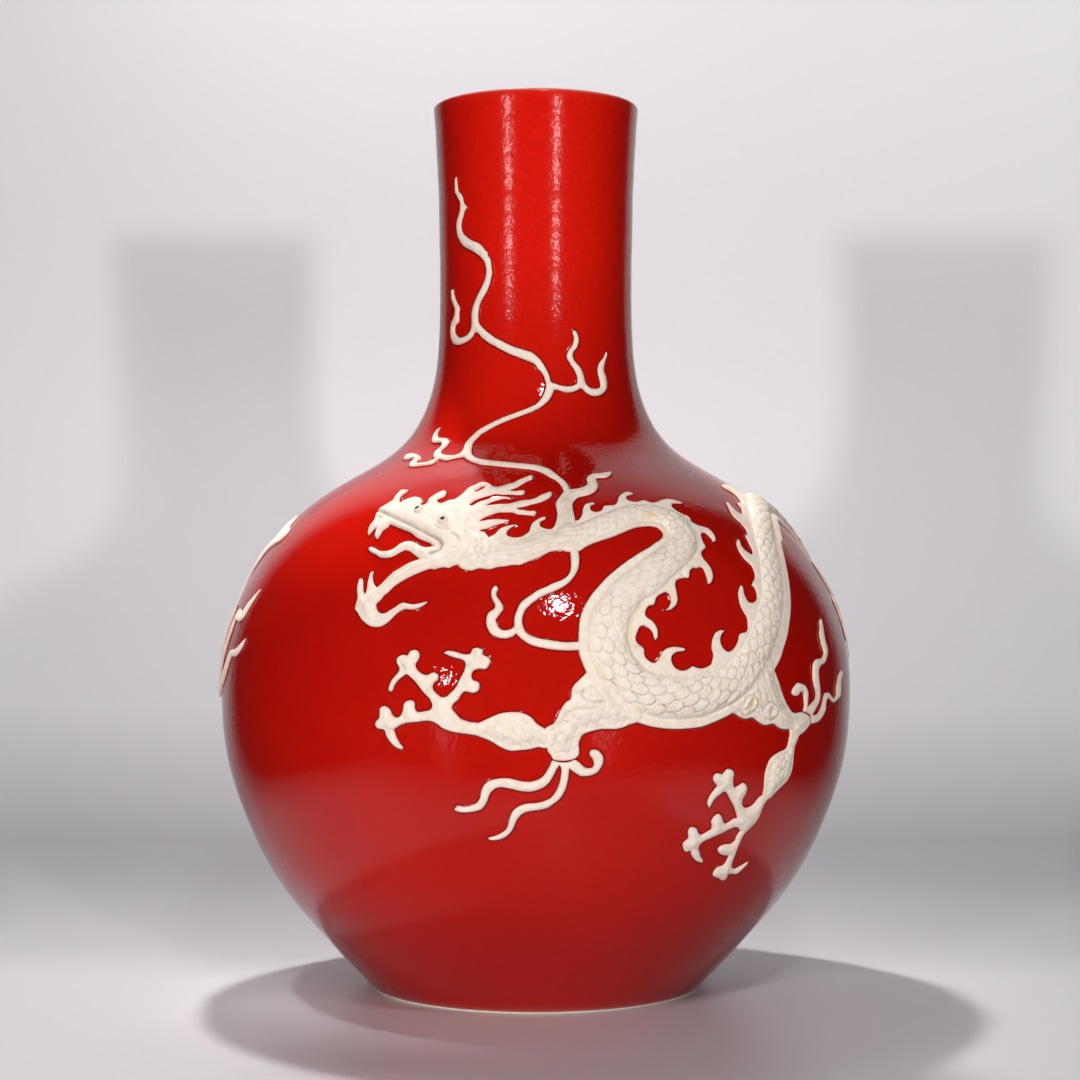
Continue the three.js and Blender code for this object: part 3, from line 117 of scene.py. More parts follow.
WHISKER_UPPER = """
571.5,494 570,489.5 568,485 565,481 560,477 555,473 550,469.5 545,467.5 540,466 535,465 530,464.5 520,463.5
510,462.5 500,461.5 490,460.5 480,459 476,457.5 473,455 471.5,451 472,447 473,443 475,440 478,437 481,434
486,431 490,428.5 497,425 505,421.5 513,418.5 520,416 527,413.5 533,411 539,408 545,404 550,399 553,393.5
554.8,389.7 558,390 563,391.5 568,392.5 573,392 578,390 581,388.5 587,393 592,395.5 597,396 601,395
604.5,392.5 606.5,389 607,384 606.5,379 604,370 605,362 607,354 606.5,351 604,357 599,364 598,368 598,373
600,381 600.5,385 600,387 595,388.5 590,387.5 587,385 585,381 584,376 582.5,371 580,367 574,359 573,355
574,352 577,348 578.5,344 579,339 578,335 576,331 574,330 573,331 574,338 572,346 569,350 567,354 567,358
569,362 575,371 577,376 577.5,380 577,383 574,385 570,386 565,386 560,385 556,383.5 552.4,382.5 549,374
546,368 543,363 539,358 535,354.5 530,351.5 525,350 520,348.5 515,347 510,345 505,342.5 500,340 495,337.5
490,334 485,330 481,326 478.5,322 478,318 478,314 478.5,310 479.5,305 481,301 484,296 487,291 488.5,287
490,283 491,278 492,273 491.5,268 491,264 490.5,260 489.5,257.5 488,256 487,252 485,250 481,245 477,242.5
471,240 466,236.5 463,233.5 461.5,230 461,226 461.5,221 463,216 464.5,211 466,209 466.5,206.5 465,205
463.5,202 462.5,198 461.5,195 460,193 458,191 457.5,187 456.8,181 456.5,176 455.5,178 455,182 455,188
455.5,193 457,196 458.5,199 460,202 460.2,206 459.8,211 458.5,216 457,221 456.5,227 457,232 458,237 460,241
463,245.5 466,248 470,250 475,253 479,256 482,259 484,262 485.5,267 486,271 485.5,276 484,281 482,286
480,290 477,296 474.5,302 472.5,308 471.5,315 471.5,322 470.9,328.5 470,331 468,334 464,336.5 460,337.5
457,336 454.5,330.5 455,327 458.5,322 459,312 459.5,309 456,301 453.5,293 453,289.5 451.5,289.5 451.5,298
455,311 454.5,315 451.5,323 450.5,333 451,338 452,341 454,344 457,345 461,344.5 466,342 470,339.5
473.2,335.5 474.5,333 478,333.5 481,337 485,340.5 490,344 495,346.5 500,349.5 505,352 513,355.5 520,358
525,360 530,362 534,364 538,369 541,372 543,375 545,380 546,384 545.5,388 544,393 542,397 539,401 535,404.5
530,407 525,409 517,412 510,414.5 505,416.5 500,418.5 490,423.5 485,426 480,429 476,432 472,436 468,440
465,444 462.3,450.5 459,454 455,455.5 450,455.5 442,453.5 441,452 442,450 447,445.5 449,442.5 449,440
447,438.5 438,437 437.5,435 438,432 440.5,427 438.5,428.5 434,434 432.5,437 432,442 441,443 441.5,445
434,453 433,456 434,459.5 431,461 423,463 416.5,462.5 418,460 421,457 419,455.5 407,455 405,456 404,459.5
413,458 414,459 410,463 409,466 420,465.5 432,463.5 439,458.5 445,460 455,458 463.2,456.8 466,459 470,461
475,462.5 480,464 490,465 500,466 510,467 520,468 530,469 535,470 540,471.5 545,474 550,477 555,479.5
559,483 562,487 564,492 566,496
"""
WHISKER_LOWER = """
569,546 570,551 570.5,556 570.8,561 571,566 570,571 567.5,575.5 563,579 557,581.5 551,584 545,587 538,590
532,594 526,598 521,602 518,607 516,612 514.5,617 514,622 514,626 512,628 508,629.5 504,630 500,628.5
497.5,625 496,621.5 496,619 498,616.5 500.5,613 503,609 503,606 501.5,602.5 499,599 496.5,595 496.5,592
498,589 497.5,586.5 495,585.5 493,587 491.5,590 491,595 492,599 494,603 495,606 494,608.5 491,610.5 488,613
486.5,617 486,621 486.5,626 488.5,630.5 491,634 495,636.5 500,638 505,638.5 510,637.5 513.5,636 516,633.5
518,635.5 521,638.5 525,641.5 530,644.5 536,646.5 543,648 552,649.5 560,650.3 578,650.3 584,650 584,641.5
578,641.5 564,641.8 556,641 548,639.5 540,638.3 535,637 530,635 526,632 524,628 522.5,623 522.5,618 524,613
526,609 530,605 535,601 540,597.5 546,594.5 553,591.5 560,588.5 565,585.5 569,582.5 573,578 576,573.5
578.5,568 579.5,562 579.5,556 578.5,551 577.5,546
"""
FRINGE_ARCH = """
574.5,521 577,520.5 580,518 582,514 583,508 585,504.5 589,503 593,502.5 595,503.5 592,504.5 590.5,508
592,511 595,512 599,511.5 602,509.5 604,506 607,505.5 614,505 617,502 618,498 620,495 623,493 627,492
634,493.5 630,494.5 627,496 626.5,498 628,500.5 631,501.5 636,502 644,500.5 651,502.5 655,502.5 658,501.5
662,500 667,499 672,499.5 677,501 684,503 680,503 673,503.5 671.5,505 672.5,507.5 675,510 679,512.5
684,514.5
"""
FRINGE_BEND = """
690.5,519 691,521 697,525 704,527 708,528.5 711,531 713.5,534 715,537 715.5,541 713,541.5 711.5,538.5
709,535.5 706,533 703,532.5 701,535 701.5,538 703,542 705.5,548 703,550 701.5,553 702,556 704,559.5 707,563
710,567 712,571 713,576 712.5,580 711,583 708,583.5 707.5,580 706.5,576 705,571.5 703,568 700.5,567 697,568
694,567.5 691.5,569 690,571 689.5,574 689,577.5 685,577.5
"""
FRINGE_HOLLOW = """
679,579 677,580 675.5,583 676.5,591 677.5,596 677.5,602 675.5,606 672,609 668,610 665,609.5 668,608 670,605
671,601 670.5,597 668.5,593 666,592 662,593.5 658,596 656,599 654.5,604 649,606 646.5,609 645.5,613 646,616
649,618.5 652,620.5 655,624 657.5,629 658,634 657.5,638 655.5,640 654,637 653,633 650.5,629.5 647,627
643,625.5 640,627 638,631 636.5,635 636,638 637,642 640,645 643,647
"""
FRINGE_BELLY = """
644.5,650 644.5,653 645.5,657 649,660.5 653,662.5 655.5,662.5 657.5,660.5 659.5,658 661,655 663,651.5
665,649.5 669,647.5 674,646.5 679,647 684,648 686,649.5 684,651 680,651.5 676,652.5 673,655 671.5,658.5
672,662 674,666 677.5,669 682,670.5 686,670 690,668 693,666 695.5,667 699,668 704,668 708,666.5
"""
FRINGE_RISE = """
711,664.5 712.5,661 713.5,656 712,647 712.5,641 713.5,637 715.5,633 719,630.5 723,630 725,631 722,634
720.5,638 720.5,642 722,646 725,650 729,651.5 733,649.5 736.5,645 738.5,640 740,634 743,632.5 746,632
748,629 748,624 747,617 744,612
"""
FRINGE_CREST = """
742.5,609 742,608 740,603 739,598 738.5,594 739,590 740,587 741,585 742.5,587 744,594 746,598.5 748,601.5
751,602.5 755,601.5 757,599 757,594 756,590 754.5,587 752,585 753,582 755,578 755,574 754,570 752,566
749,562.5 745,559 742,555 740,552 738,548 737,545 736.5,542 738,539 739.5,541 741,545 743.5,549 747,552
750,554 752.5,554 752.5,550 751,546.5 749,543 747,538.5 745.5,536 747.5,534 747,531 744.5,527 741,523
"""
FRINGE_TOP = """
749.8,526.4 740.4,522 738,520 734,516.5 731,512 729,508 727,504 726,502.5 727.5,502 730,505 733,508.5
737,512 741,514 742,511 740,506 738,504 741,502 739,498 735,494 731,491 726,488.5 722.5,486 724,484.5
727,485 733,488 739,492
"""
BODY_BACK = """
575,525 590,519 600,514.5 612,510.5 624,506.5 636,505 648,505 660,507 672,511 683,518 691,528 696,538
697,547 694,556 688,564 680,572 672,579 664,587 656,594 647,599 641,604 636,611 631.5,619 629,627 628.5,635
629,641 630.5,647 633,653 637,659.5 642,665 647,669.5 653,672.5 660,674 668,675.5 676,676 685,676 694,675
703,673.5 712,670.5 720,667 727,662 733,656 738,650 742,643 746,636 749,629 751.5,621 754.5,612.5 757.5,604
759.5,595 760,586 759.5,577 758.8,568 757.5,558 756,548 753.5,538 751,528
"""
BODY_BELLY = """
578,551 590,544.5 602,540 613,536.5 624,532 635,527.5 645,526 652,526 658,527.5 661.5,531 663,534.5
662,537.5 659,540.5 655,543 648,548 640,552.5 632,557.5 624,563 615,570 607,577 600,584.5 593,592.5
587,601.5 583,609.5 580,618 579,627 578.5,637 578.5,647 580,656 584,667 590,679 598,691 608,703 620,713
634,721 650,726.5 667,729 684,729 701,727 717,721 731,714 744,706 754,697 762,687 769,677 775,668.5 780,659
783.5,648 787,636 789,624 790.3,612 790.5,600 789.5,588 788,577 786,566 783.5,555 781,544
"""
# The body round the side and back, which is not seen: azimuth, height, half width
BACK_SPINE = """
60.7,454,22 64,461.5,21.5 67.8,467.5,21 72.5,472.5,20.5 78,473.5,20 83,469,20.5 87.5,460,21 91.3,448,21.5
94.5,434,22 97.3,418,22 99.7,401,22 101.8,384,22 103.5,366,22 105.3,348,22 107.8,330,22.5 111.3,313,23
116,298,23.5 122,286,24 129.5,277,24.5 138,271,25 147,267.5,25 156,266,25 165,267,25 174,270,24.5
182.5,275,24 190.5,282,23.5 198,291,23 205,302,22.5 211,314.5,22 216,328.5,21.5 220,344,21 223,360,20
225,376,19 226,392,18 225.5,408,17 223,423,16 218.5,436,15 212,445,14 204.5,449,13 197,447.5,12 190.5,441,11
186,431,10 184,419.5,9 185,408.5,8 188.5,399.5,7 193.5,394.5,6
"""
UPPER_LEFT = """
628,725.5 625,727 618,729 600,729.5 592,731.5 587,733 583,735 580,740 579,744 579.5,750 579,755 575.5,758.5
569,760.5 561,761 552.5,759 551,756 548,752 546.5,745 545,736 545.3,728.3 549,726 553,724 557,718 560.5,710
563,706 566,702 570.5,699 571,697 572,689 574,685 577,682
"""
PAW_LEFT = """
477,722.5 470,722 465,720.5 461,719 457,715 452,707 453.5,704 458,700 461,695 464,692 474,693 478,691
479.5,687 479,683 476,681 473,680 471.5,677 472,673 475,670 480,669 486,669 489,665 490.5,660 488,657
482.5,654 483,650 480,648 476,647.5 472,649 470,653.5 466,654 453,651 446,651 443,653 452,657 465,663
465,666 459,680 455,688 450,693 446,696.5 441,697 438,695 432.5,687 434,683 437.5,680 438.5,676 436,673
432,672.5 428,674.5 424,674.5 419,671.5 416,668 415.5,664 418,660 419.5,655 418,651 414,649.5 410,651
407.5,655 403,654.5 399,656 396.5,659 397,664 399,668 391,681 388.5,688 389,692 392,691 394,686 402,677
406,674.5 411,678 422,691 431,702 432,706 430,709.5 425,711 416,711 414.5,708 414.5,703 412,700.5 408,700.5
405,702 403,706 402,712 400,716 396,717.5 392,715 390,710 387,707 383.5,706 380,708 379.5,713 379,718
376,721 375,725 377,728 384.5,730.5 386,735 393,745 398,748.5 402,750 403,748 400,744 394.5,732 394,730
397,727.5 402,724.5 418,722 426,721 431,721.5 436,723.5 441,727.5 447,730.5 455,732.5 465,734 476,735.5
"""
RIBBONS_LEFT = """
551,763 548,769 545,774 541,778 536,780.5 530,782 522,781.5 508,778.5 500,778.5 494,779.5 488,781.5 484,785
481.5,790 479,800 476,803.5 470,806 463,807 457,806 454,810 457,811.5 470,812.5 476,811.5 482,809 486,804
491.5,792 495,789 500,787.5 508,788.5 522,791.5 530,792 537,790.5 543,788 549,783 553,777 556.5,770
559.5,765.5 561,768 561,775 560,781 555,793 551,798 545,801 538,803 524,804.5 518,807 513,811 510,817
505.5,830 500,834 487,838.5 490,840 502,839 508,835.5 512,831 518,819 522,814.5 528,812 541,810 548,808
554,804 560,799 564.5,792 567,785 568.5,778 569.5,768.5 572,771 576,773.5 580,776 586,776.5 592,775.5
597,773 601,768 603.5,762 603,756 600,752 597,750 590,751.5 589.5,753 593,760 594,764 593,767 585,767.5
582,765 578,761.5 575.5,760 570,761.8 561,762.5 552,760.3
"""
UPPER_RIGHT = """
736,714.5 741,717.5 745,719 753,718 756,720 760,723 764,725 775,724.5 778,727 782,729 790,729.5 790.3,736
794,737 798.6,736.5 800,735 803,733 808,727 810,723.5 810,718 806,713.5 802,712 796,713 792,711.5 789.5,708
786,702 783.5,696 781,689 779,682 777,677
"""
FORELEG_RIGHT_PAW = """
763.5,794.7 760,797 753,805 750,807 746,808 743,806 742,802 743,798 745,795 746.5,791 747,787 745.5,784
743,783 740,785 735,788 733.5,785 733.5,777 734,774 733,770.5 730,769 727,769.5 723,774 717,773.5 714,776
713.5,780 717.5,786 712,793 708,801 708,806 709.5,808 714,800 718,796 724,792 731,801 735,809 737.5,818
734,819 728,823 726,824 723.5,822 721.5,816 719,814 713,818.5 711.5,822 712,826 711.5,829.5 700,834.5
698,832 697,829 694,827.5 690,828 688.5,831 688,839 683.5,843 683,847 686,852 690,851 691.5,855 694,859
698,862 702,863 703,861 701,857 699.5,852 699.5,845 702,842.5 711,838 722,833 731,828.5 734,827.5 738,828
740.5,831 736.5,837 735,841 732,843.5 724,845 720,847 718,850 719,853 722,855 729,855.5 728,858 724,865
717,868 714.5,871 713,875 719,878.5 722,880.5 725,879.5 728.5,874.5 736,874 742,869 749.5,861 741,866
734,869 732,867 736,852 740,842 744,834 750,828 757,820 760,814 764,804 768,799 772.5,796
"""
FORELEG_RIGHT_RIBBONS = """
803,711 804,709 804,698 803,693 801,692 798,695.5 794,695.5 792,693 792.5,690 795,686 798,683 802,683.5
805.5,686 808,692 808,699 807,708 810,705 816,696 814,684 813,677 813,670 813.5,664 815.5,660 822.5,657
824,652 822.5,647 819.5,633 820,628 819.5,622 821,618 822.5,625 825,640 827.5,652 826.5,658 824.5,663
820.5,666 819,669 820,690 820,695 819,701 816,708 812.3,715.5 817.5,714 821,708 825.5,693 828,692.5
834.5,698 836.5,694 836.5,688 838.5,677 839.5,673 842,671 842.5,673 840.5,684 840.5,690 840,696 837,699.5
834,702.5 828,698.5 826.5,700 825,711 822,717 819,721 815,723 811.2,724 811.2,717.5
"""
# Pieces at the sides and back: azimuth and height
HINDLEG_RIGHT = """
103,306 99,302 95,303 91.5,308 89,316 88,326 87.6,338 87,350 86,362 86.6,372 84.5,371 82.2,362 80.8,349
79.9,345 80.6,358 81,370 80.2,382 81.4,387 83.6,386 82.2,396 80.8,408 79.6,420 82.2,412 85,404 87.4,398
89.6,404 89,414 90.6,418 92.4,412 92.6,402 92.4,392 93.4,386
"""
HINDLEG_LEFT_UPPER = """
231,367 234.5,368 239,361 244,350 249,337 254,322 259.6,304.5 267.2,301.6 271,297 272,290 269.5,284
265,279.5 259,278 252,280 245,285 238,293 231,301 225.5,310
"""
HIND_FOREARM_A = """
260.2,306.5 258.8,320 259.5,336 262,352 265,368 267.6,384 269,398
"""
HIND_FOREARM_B = """
266.8,304 268.3,317 269.8,334 270.8,351 271.6,368 272.4,384 273,398
"""
HINDLEG_LEFT_PAW = """
269,399.5 268.3,408 266,415 262,420 257,424 252.5,430 251,437 254.5,441 258,436 262,431 266.5,429 267.5,437
266.6,446 264.4,453 266,459 270,460 272.4,454 272.6,445 274.5,438 278,441 282,447 281,456 282,466 284.5,460
286,455 289,453 290.4,448 289.6,442 286.6,438 282.5,434 279,426 276.4,416 274.2,407 273,399.5
"""
HINDLEG_LEFT_RIBBONS = """
273,292 274.2,300 275.6,318 278.6,340 281,360 282.8,378 282,359 280,340 277.4,318 276.8,304 279.6,318
283,337 285.2,354 286.3,370 288.2,376 290.6,373 293.4,384 296.8,396.5 294.6,380 292.6,367 289.6,364
287.6,367 286.8,353 284.9,337 281.8,318 279.8,303.5 284.6,315 287.4,326 289.8,336.5 293,338.5 295.2,343
297.6,349.5 296.2,339 293.6,331.5 291,331 289.4,322 286.6,309 281.6,297 277.6,290 273.2,287
"""
TAIL_TUFT = """
195.2,400 198,404 203,409 210,411 206,405 203,400 207,401 213,398 207,395 204,392 209,389 213,383 206,384
201,387 203,380 203,373 198,380 195.5,388
"""

# The vase's profile: a height and a radius for each point, and a smooth curve through them
LOWER_SHARES = ((0, 0), (0.0667, 0.121), (0.183, 0.321), (0.322, 0.544), (0.461, 0.713), (0.6, 0.834),
                (0.806, 0.9596), (1, 1))
SHOULDER_SHARES = ((0.149, 0.981), (0.2425, 0.923), (0.336, 0.826), (0.429, 0.679), (0.4776, 0.57),
                   (0.526, 0.423), (0.5746, 0.262), (0.623, 0.152), (0.6716, 0.0885), (0.765, 0.026),
                   (0.858, 0.005), (1, 0))
NECK_SHARES = ((0.241, 0.1), (0.464, 0.23), (0.6875, 0.5), (0.92, 0.92), (0.964, 1), (1, 1))


def profile_curve():
    """A natural cubic spline of the radius over the height"""
    knots = [(a * LOWER, FOOT + b * (GLOBE - FOOT)) for a, b in LOWER_SHARES]
    knots += [(LOWER + a * SHOULDER, NECK_R + b * (GLOBE - NECK_R)) for a, b in SHOULDER_SHARES]
    knots += [(LOWER + SHOULDER + a * TOP, NECK_R + b * (MOUTH - NECK_R)) for a, b in NECK_SHARES]
    x, y = np.array(knots).T
    n = len(x)
    h = np.diff(x)
    matrix = np.eye(n)
    right = np.zeros(n)
    for i in range(1, n - 1):
        matrix[i, i - 1:i + 2] = h[i - 1], 2 * (h[i - 1] + h[i]), h[i]
        right[i] = 6 * ((y[i + 1] - y[i]) / h[i] - (y[i] - y[i - 1]) / h[i - 1])
    m = np.linalg.solve(matrix, right)

    def radius(q):
        q = np.asarray(q, float)
        i = np.clip(np.searchsorted(x, q) - 1, 0, n - 2)
        a = (x[i + 1] - q) / h[i]
        b = (q - x[i]) / h[i]
        bend = (a ** 3 - a) * m[i] + (b ** 3 - b) * m[i + 1]
        return a * y[i] + b * y[i + 1] + bend * h[i] ** 2 / 6
    return radius


radius_at = profile_curve()
HEIGHTS = np.arange(0, TALL + 0.25, 0.5)
RADII = radius_at(HEIGHTS)
RUN = np.hypot(np.diff(HEIGHTS), np.diff(RADII)) / (RADII[1:] + RADII[:-1]) * 2 * GLOBE
FLAT_HEIGHTS = np.concatenate(([0], np.cumsum(RUN)))
SLOPES = np.gradient(RADII, HEIGHTS)


def flat_from_vase(azimuth, height):
    """Degrees round the vase and height to the flat map, which keeps angles"""
    x = GLOBE * np.radians(np.asarray(azimuth, float))
    return np.stack([x, np.interp(height, HEIGHTS, FLAT_HEIGHTS)], -1)


def flat_from_photo(points, lift=0.0):
    """Pixels of the photograph to the flat map, for points that stand off the glaze by lift"""
    x, y = np.asarray(points, float).T
    cosine = np.full(x.shape, 0.6)
    out = np.full(x.shape, 250.0)
    for step in range(160):
        nearness = 1 - out * cosine / CAMERA
        up = FOOT_DROP + (HORIZON - y) * nearness
        slope = np.interp(up, HEIGHTS, SLOPES)
        height = up + lift * slope / np.hypot(1, slope)
        out = radius_at(np.clip(height, 0, TALL)) + lift / np.hypot(1, slope)
        sine = np.clip((x - AXIS_X) * nearness / out, -0.985, 0.985)
        cosine = 0.5 * cosine + 0.5 * np.sqrt(1 - sine * sine)
    return flat_from_vase(np.degrees(np.arcsin(sine)), height)


def scale_at(flat):
    """Real size of one unit of the flat map, in pixels"""
    height = np.interp(flat[..., 1], FLAT_HEIGHTS, HEIGHTS)
    return radius_at(height) / GLOBE


def lifted(flat, lift):
    """Points in metres that stand off the glaze by lift pixels"""
    height = np.interp(flat[..., 1], FLAT_HEIGHTS, HEIGHTS)
    radius = radius_at(height)
    slope = np.interp(height, HEIGHTS, SLOPES)
    length = np.hypot(1, slope)
    out = radius + lift / length
    up = height - lift * slope / length
    turn = flat[..., 0] / GLOBE
    return np.stack([out * np.sin(turn), -out * np.cos(turn), up], -1) * PX


def pixels(text):
    return np.array([[float(v) for v in pair.split(",")] for pair in text.split()])


def photo(text, lift=0.0):
    return flat_from_photo(pixels(text), lift)


def vase(text):
    azimuth, height = pixels(text).T
    return flat_from_vase(azimuth, height)


def eased(points, step, closed=True, corner=75.0):
    """Points close together on a smooth line through the given ones, which keeps its sharp tips"""
    pts = np.asarray(points, float)
    n = len(pts)
    following = np.roll(pts, -1, 0) - pts
    previous = np.roll(following, 1, 0)
    far = np.hypot(*following.T) + 1e-9
    back = np.roll(far, 1)
    turn = np.arctan2(previous[:, 0] * following[:, 1] - previous[:, 1] * following[:, 0],
                      (previous * following).sum(1))
    sharp = np.abs(turn) > math.radians(corner)
    if not closed:
        sharp[0] = sharp[-1] = True
    unit_f = following / far[:, None]
    unit_p = previous / back[:, None]
    tangent = (unit_f * back[:, None] + unit_p * far[:, None]) / (far + back)[:, None]
    result = []
    for i in range(n if closed else n - 1):
        j = (i + 1) % n
        t0 = unit_f[i] if sharp[i] else tangent[i]
        t1 = unit_p[j] if sharp[j] else tangent[j]
        count = max(1, int(round(far[i] * scale_at(pts[i]) / step)))
        t = np.arange(count)[:, None] / count
        result.append((2 * t ** 3 - 3 * t ** 2 + 1) * pts[i] + (t ** 3 - 2 * t ** 2 + t) * t0 * far[i]
                      + (3 * t ** 2 - 2 * t ** 3) * pts[j] + (t ** 3 - t ** 2) * t1 * far[i])
    if not closed:
        result.append(pts[-1:])
    return np.concatenate(result)


def distance(flat, lines, limit=16.0):
    """Distance in pixels from each point to the nearest of the lines, exact up to the limit"""
    starts = np.concatenate([line[:-1] for line in lines])
    runs = np.concatenate([np.diff(line, axis=0) for line in lines])
    scale = scale_at(flat)
    reach = limit / scale.min()
    cell = max(24.0, reach)
    keys = np.floor(flat / cell).astype(int)
    order = np.lexsort(keys.T)
    cuts = np.flatnonzero(np.any(np.diff(keys[order], axis=0), axis=1)) + 1
    nearest = np.full(len(flat), reach)
    for group in np.split(order, cuts):
        part = flat[group]
        low, high = part.min(0) - reach, part.max(0) + reach
        ends = starts + runs
        near = np.all((np.maximum(starts, ends) > low) & (np.minimum(starts, ends) < high), axis=1)
        if not near.any():
            continue
        begin, run = starts[near], runs[near]
        square = (run ** 2).sum(1) + 1e-12
        for k in range(0, len(part), 2000):
            gap = part[k:k + 2000, None, :] - begin[None]
            share = np.clip((gap * run[None]).sum(2) / square, 0, 1)
            gap -= share[..., None] * run[None]
            found = np.sqrt((gap ** 2).sum(2).min(1))
            nearest[group[k:k + 2000]] = np.minimum(found, reach)
    return nearest * scale


def ring(loop):
    return np.concatenate([loop, loop[:1]])


def inside(flat, loop):
    """Whether each point is within the loop"""
    result = np.zeros(len(flat), bool)
    ends = np.roll(loop, -1, 0)
    order = np.argsort(flat[:, 1])
    tall = flat[order, 1]
    for (x0, y0), (x1, y1) in zip(loop, ends):
        if y0 == y1:
            continue
        first, last = np.searchsorted(tall, sorted((y0, y1)))
        part = order[first:last]
        result[part] ^= flat[part, 0] < (x1 - x0) * (flat[part, 1] - y0) / (y1 - y0) + x0
    return result


def noise(flat, size, seed):
    """Smooth random values between -1 and 1 over the flat map"""
    rng = np.random.default_rng(seed)
    table = rng.uniform(-1, 1, (64, 64))
    x, y = (flat / size).T
    i, j = np.floor(x).astype(int), np.floor(y).astype(int)
    u, v = x - i, y - j
    u, v = u * u * (3 - 2 * u), v * v * (3 - 2 * v)
    a, b = table[i % 64, j % 64], table[(i + 1) % 64, j % 64]
    c, d = table[i % 64, (j + 1) % 64], table[(i + 1) % 64, (j + 1) % 64]
    return (a * (1 - u) + b * u) * (1 - v) + (c * (1 - u) + d * u) * v


def scales(along, across, seed):
    """Overlapping rounded scales: height between 0 and 1 and the darkness of the line round each"""
    table = np.random.default_rng(seed).uniform(-1, 1, (97, 3))
    row = np.floor(along).astype(int)
    for step in (1, 0):
        number = row + step
        cross = across - 0.5 * (number % 2)
        column = np.round(cross)
        side = cross - column
        pick = (number * 31 + column.astype(int) * 17) % 97
        forward = along - number + 0.07 * table[pick, 0]
        side = side + 0.03 * table[pick, 1]
        reach = (np.abs(forward / 0.98) ** 2.5 + np.abs(side / 0.5) ** 2.5) ** (1 / 2.5)
        tilt = 0.3 + 0.3 * (forward + 1) - 4.0 * np.clip(reach - 0.78, 0, 1) ** 2 - 0.9 * side ** 2
        top = np.clip(tilt + 0.12 * table[pick, 2], 0, 1)
        if step:
            height = top
    covered = reach < 1
    line = np.exp(-((reach - 0.99) / 0.075) ** 2)
    return np.where(covered, top, height - 0.25 * line), line


def mesh_object(name, verts, faces, marks=None, sharp=40.0):
    """A mesh with smooth shading and its painted marks"""
    mesh = bpy.data.meshes.new(name)
    mesh.from_pydata([tuple(v) for v in verts], [], faces)
    mesh.validate()
    mesh.update()
    if marks is not None:
        layer = mesh.attributes.new("marks", "FLOAT_COLOR", "POINT")
        flat = np.ones((len(verts), 4), np.float32)
        flat[:, :3] = marks
        layer.data.foreach_set("color", flat.ravel())
    mesh.polygons.foreach_set("use_smooth", [True] * len(mesh.polygons))
    mesh.set_sharp_from_angle(angle=math.radians(sharp))
    obj = bpy.data.objects.new(name, mesh)
    bpy.context.scene.collection.objects.link(obj)
    return obj


def finished(obj, material, slot, nodes):
    """Dresses a piece and ties it to the frame"""
    obj.data.materials.append(material)
    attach(obj, "root")
    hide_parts(*nodes)
    return obj


# Pixels from the glaze to a piece's underside and to the foot of its rounded edge
SUNK = -0.8
LOW = 0.35
# Distances from the outline of the rows of points that shape the rounded edge
EDGE_RINGS = (0.4, 0.9, 1.6)
# No bulk: its height, and the distances from the outline between which it would rise
NO_BULK = (0.0, 2.0, 12.0)
OUTLINES = []


def rounded(away, wide):
    """A quarter round that rises over the given width"""
    share = np.clip(away / wide, 0, 1)
    return np.sqrt(np.clip(1 - (1 - share) ** 2, 0, 1))


def plate(name, nodes, loop, high, wide, edges=None, texture=None, grid=1.5, bulk=NO_BULK, hole=None):
    """A raised piece inside an outline, with a rounded edge and a bulk that rises between two distances"""
    OUTLINES.append(loop)
    area = np.sum(loop[:, 0] * np.roll(loop[:, 1], -1) - np.roll(loop[:, 0], -1) * loop[:, 1])
    scale = scale_at(loop)[:, None]
    run = np.roll(loop, -1, 0) - np.roll(loop, 1, 0)
    run /= np.hypot(*run.T)[:, None] + 1e-9
    inward = np.stack([-run[:, 1], run[:, 0]], 1) * np.sign(area)
    closed = [ring(loop)]
    inner = []
    for away in EDGE_RINGS:
        spots = loop + inward * away / scale
        keep = (distance(spots, closed) > 0.93 * away) & inside(spots, loop)
        inner.append(spots[keep])
    size = grid / scale.mean()
    (x0, y0), (x1, y1) = loop.min(0), loop.max(0)
    nx, ny = int((x1 - x0) / size) + 2, int((y1 - y0) / (size * 0.866)) + 2
    i, j = np.meshgrid(np.arange(nx), np.arange(ny))
    spots = np.stack([x0 + (i + 0.5 * (j % 2)) * size, y0 + j * size * 0.866], -1).reshape(-1, 2)
    spots = spots[inside(spots, loop)]
    if len(spots):
        inner.append(spots[distance(spots, closed) > EDGE_RINGS[-1] + 0.55 * grid])
    points = np.concatenate([loop] + inner)
    cuts = []
    if hole is not None:
        points = points[~inside(points, hole) & (distance(points, [ring(hole)]) > 0.5)]
        cuts = [(len(points) + k, len(points) + (k + 1) % len(hole)) for k in range(len(hole))]
        points = np.concatenate([points, hole])
        closed.append(ring(hole))
    result = delaunay_2d_cdt([Vector(p) for p in points], cuts, [list(range(len(loop)))], 1, 1e-4)
    flat = np.array([tuple(v) for v in result[0]])
    tris = [list(f) for f in result[2]]
    if hole is not None:
        open_here = inside(flat[np.array(tris)].mean(1), hole)
        tris = [t for t, gone in zip(tris, open_here) if not gone]
    away = distance(flat, edges or closed)
    more, near, far = bulk
    share = np.clip((away - near) / (far - near), 0, 1)
    lift = LOW + (high - LOW) * rounded(away, wide) + more * np.sin(share * math.pi / 2) ** 1.5
    marks = np.zeros((len(flat), 3))
    marks[:, 1] = np.exp(-(away / 1.3) ** 2)
    if texture:
        texture(flat, away, lift, marks)
    return solid(name, nodes, flat, tris, lift, marks)


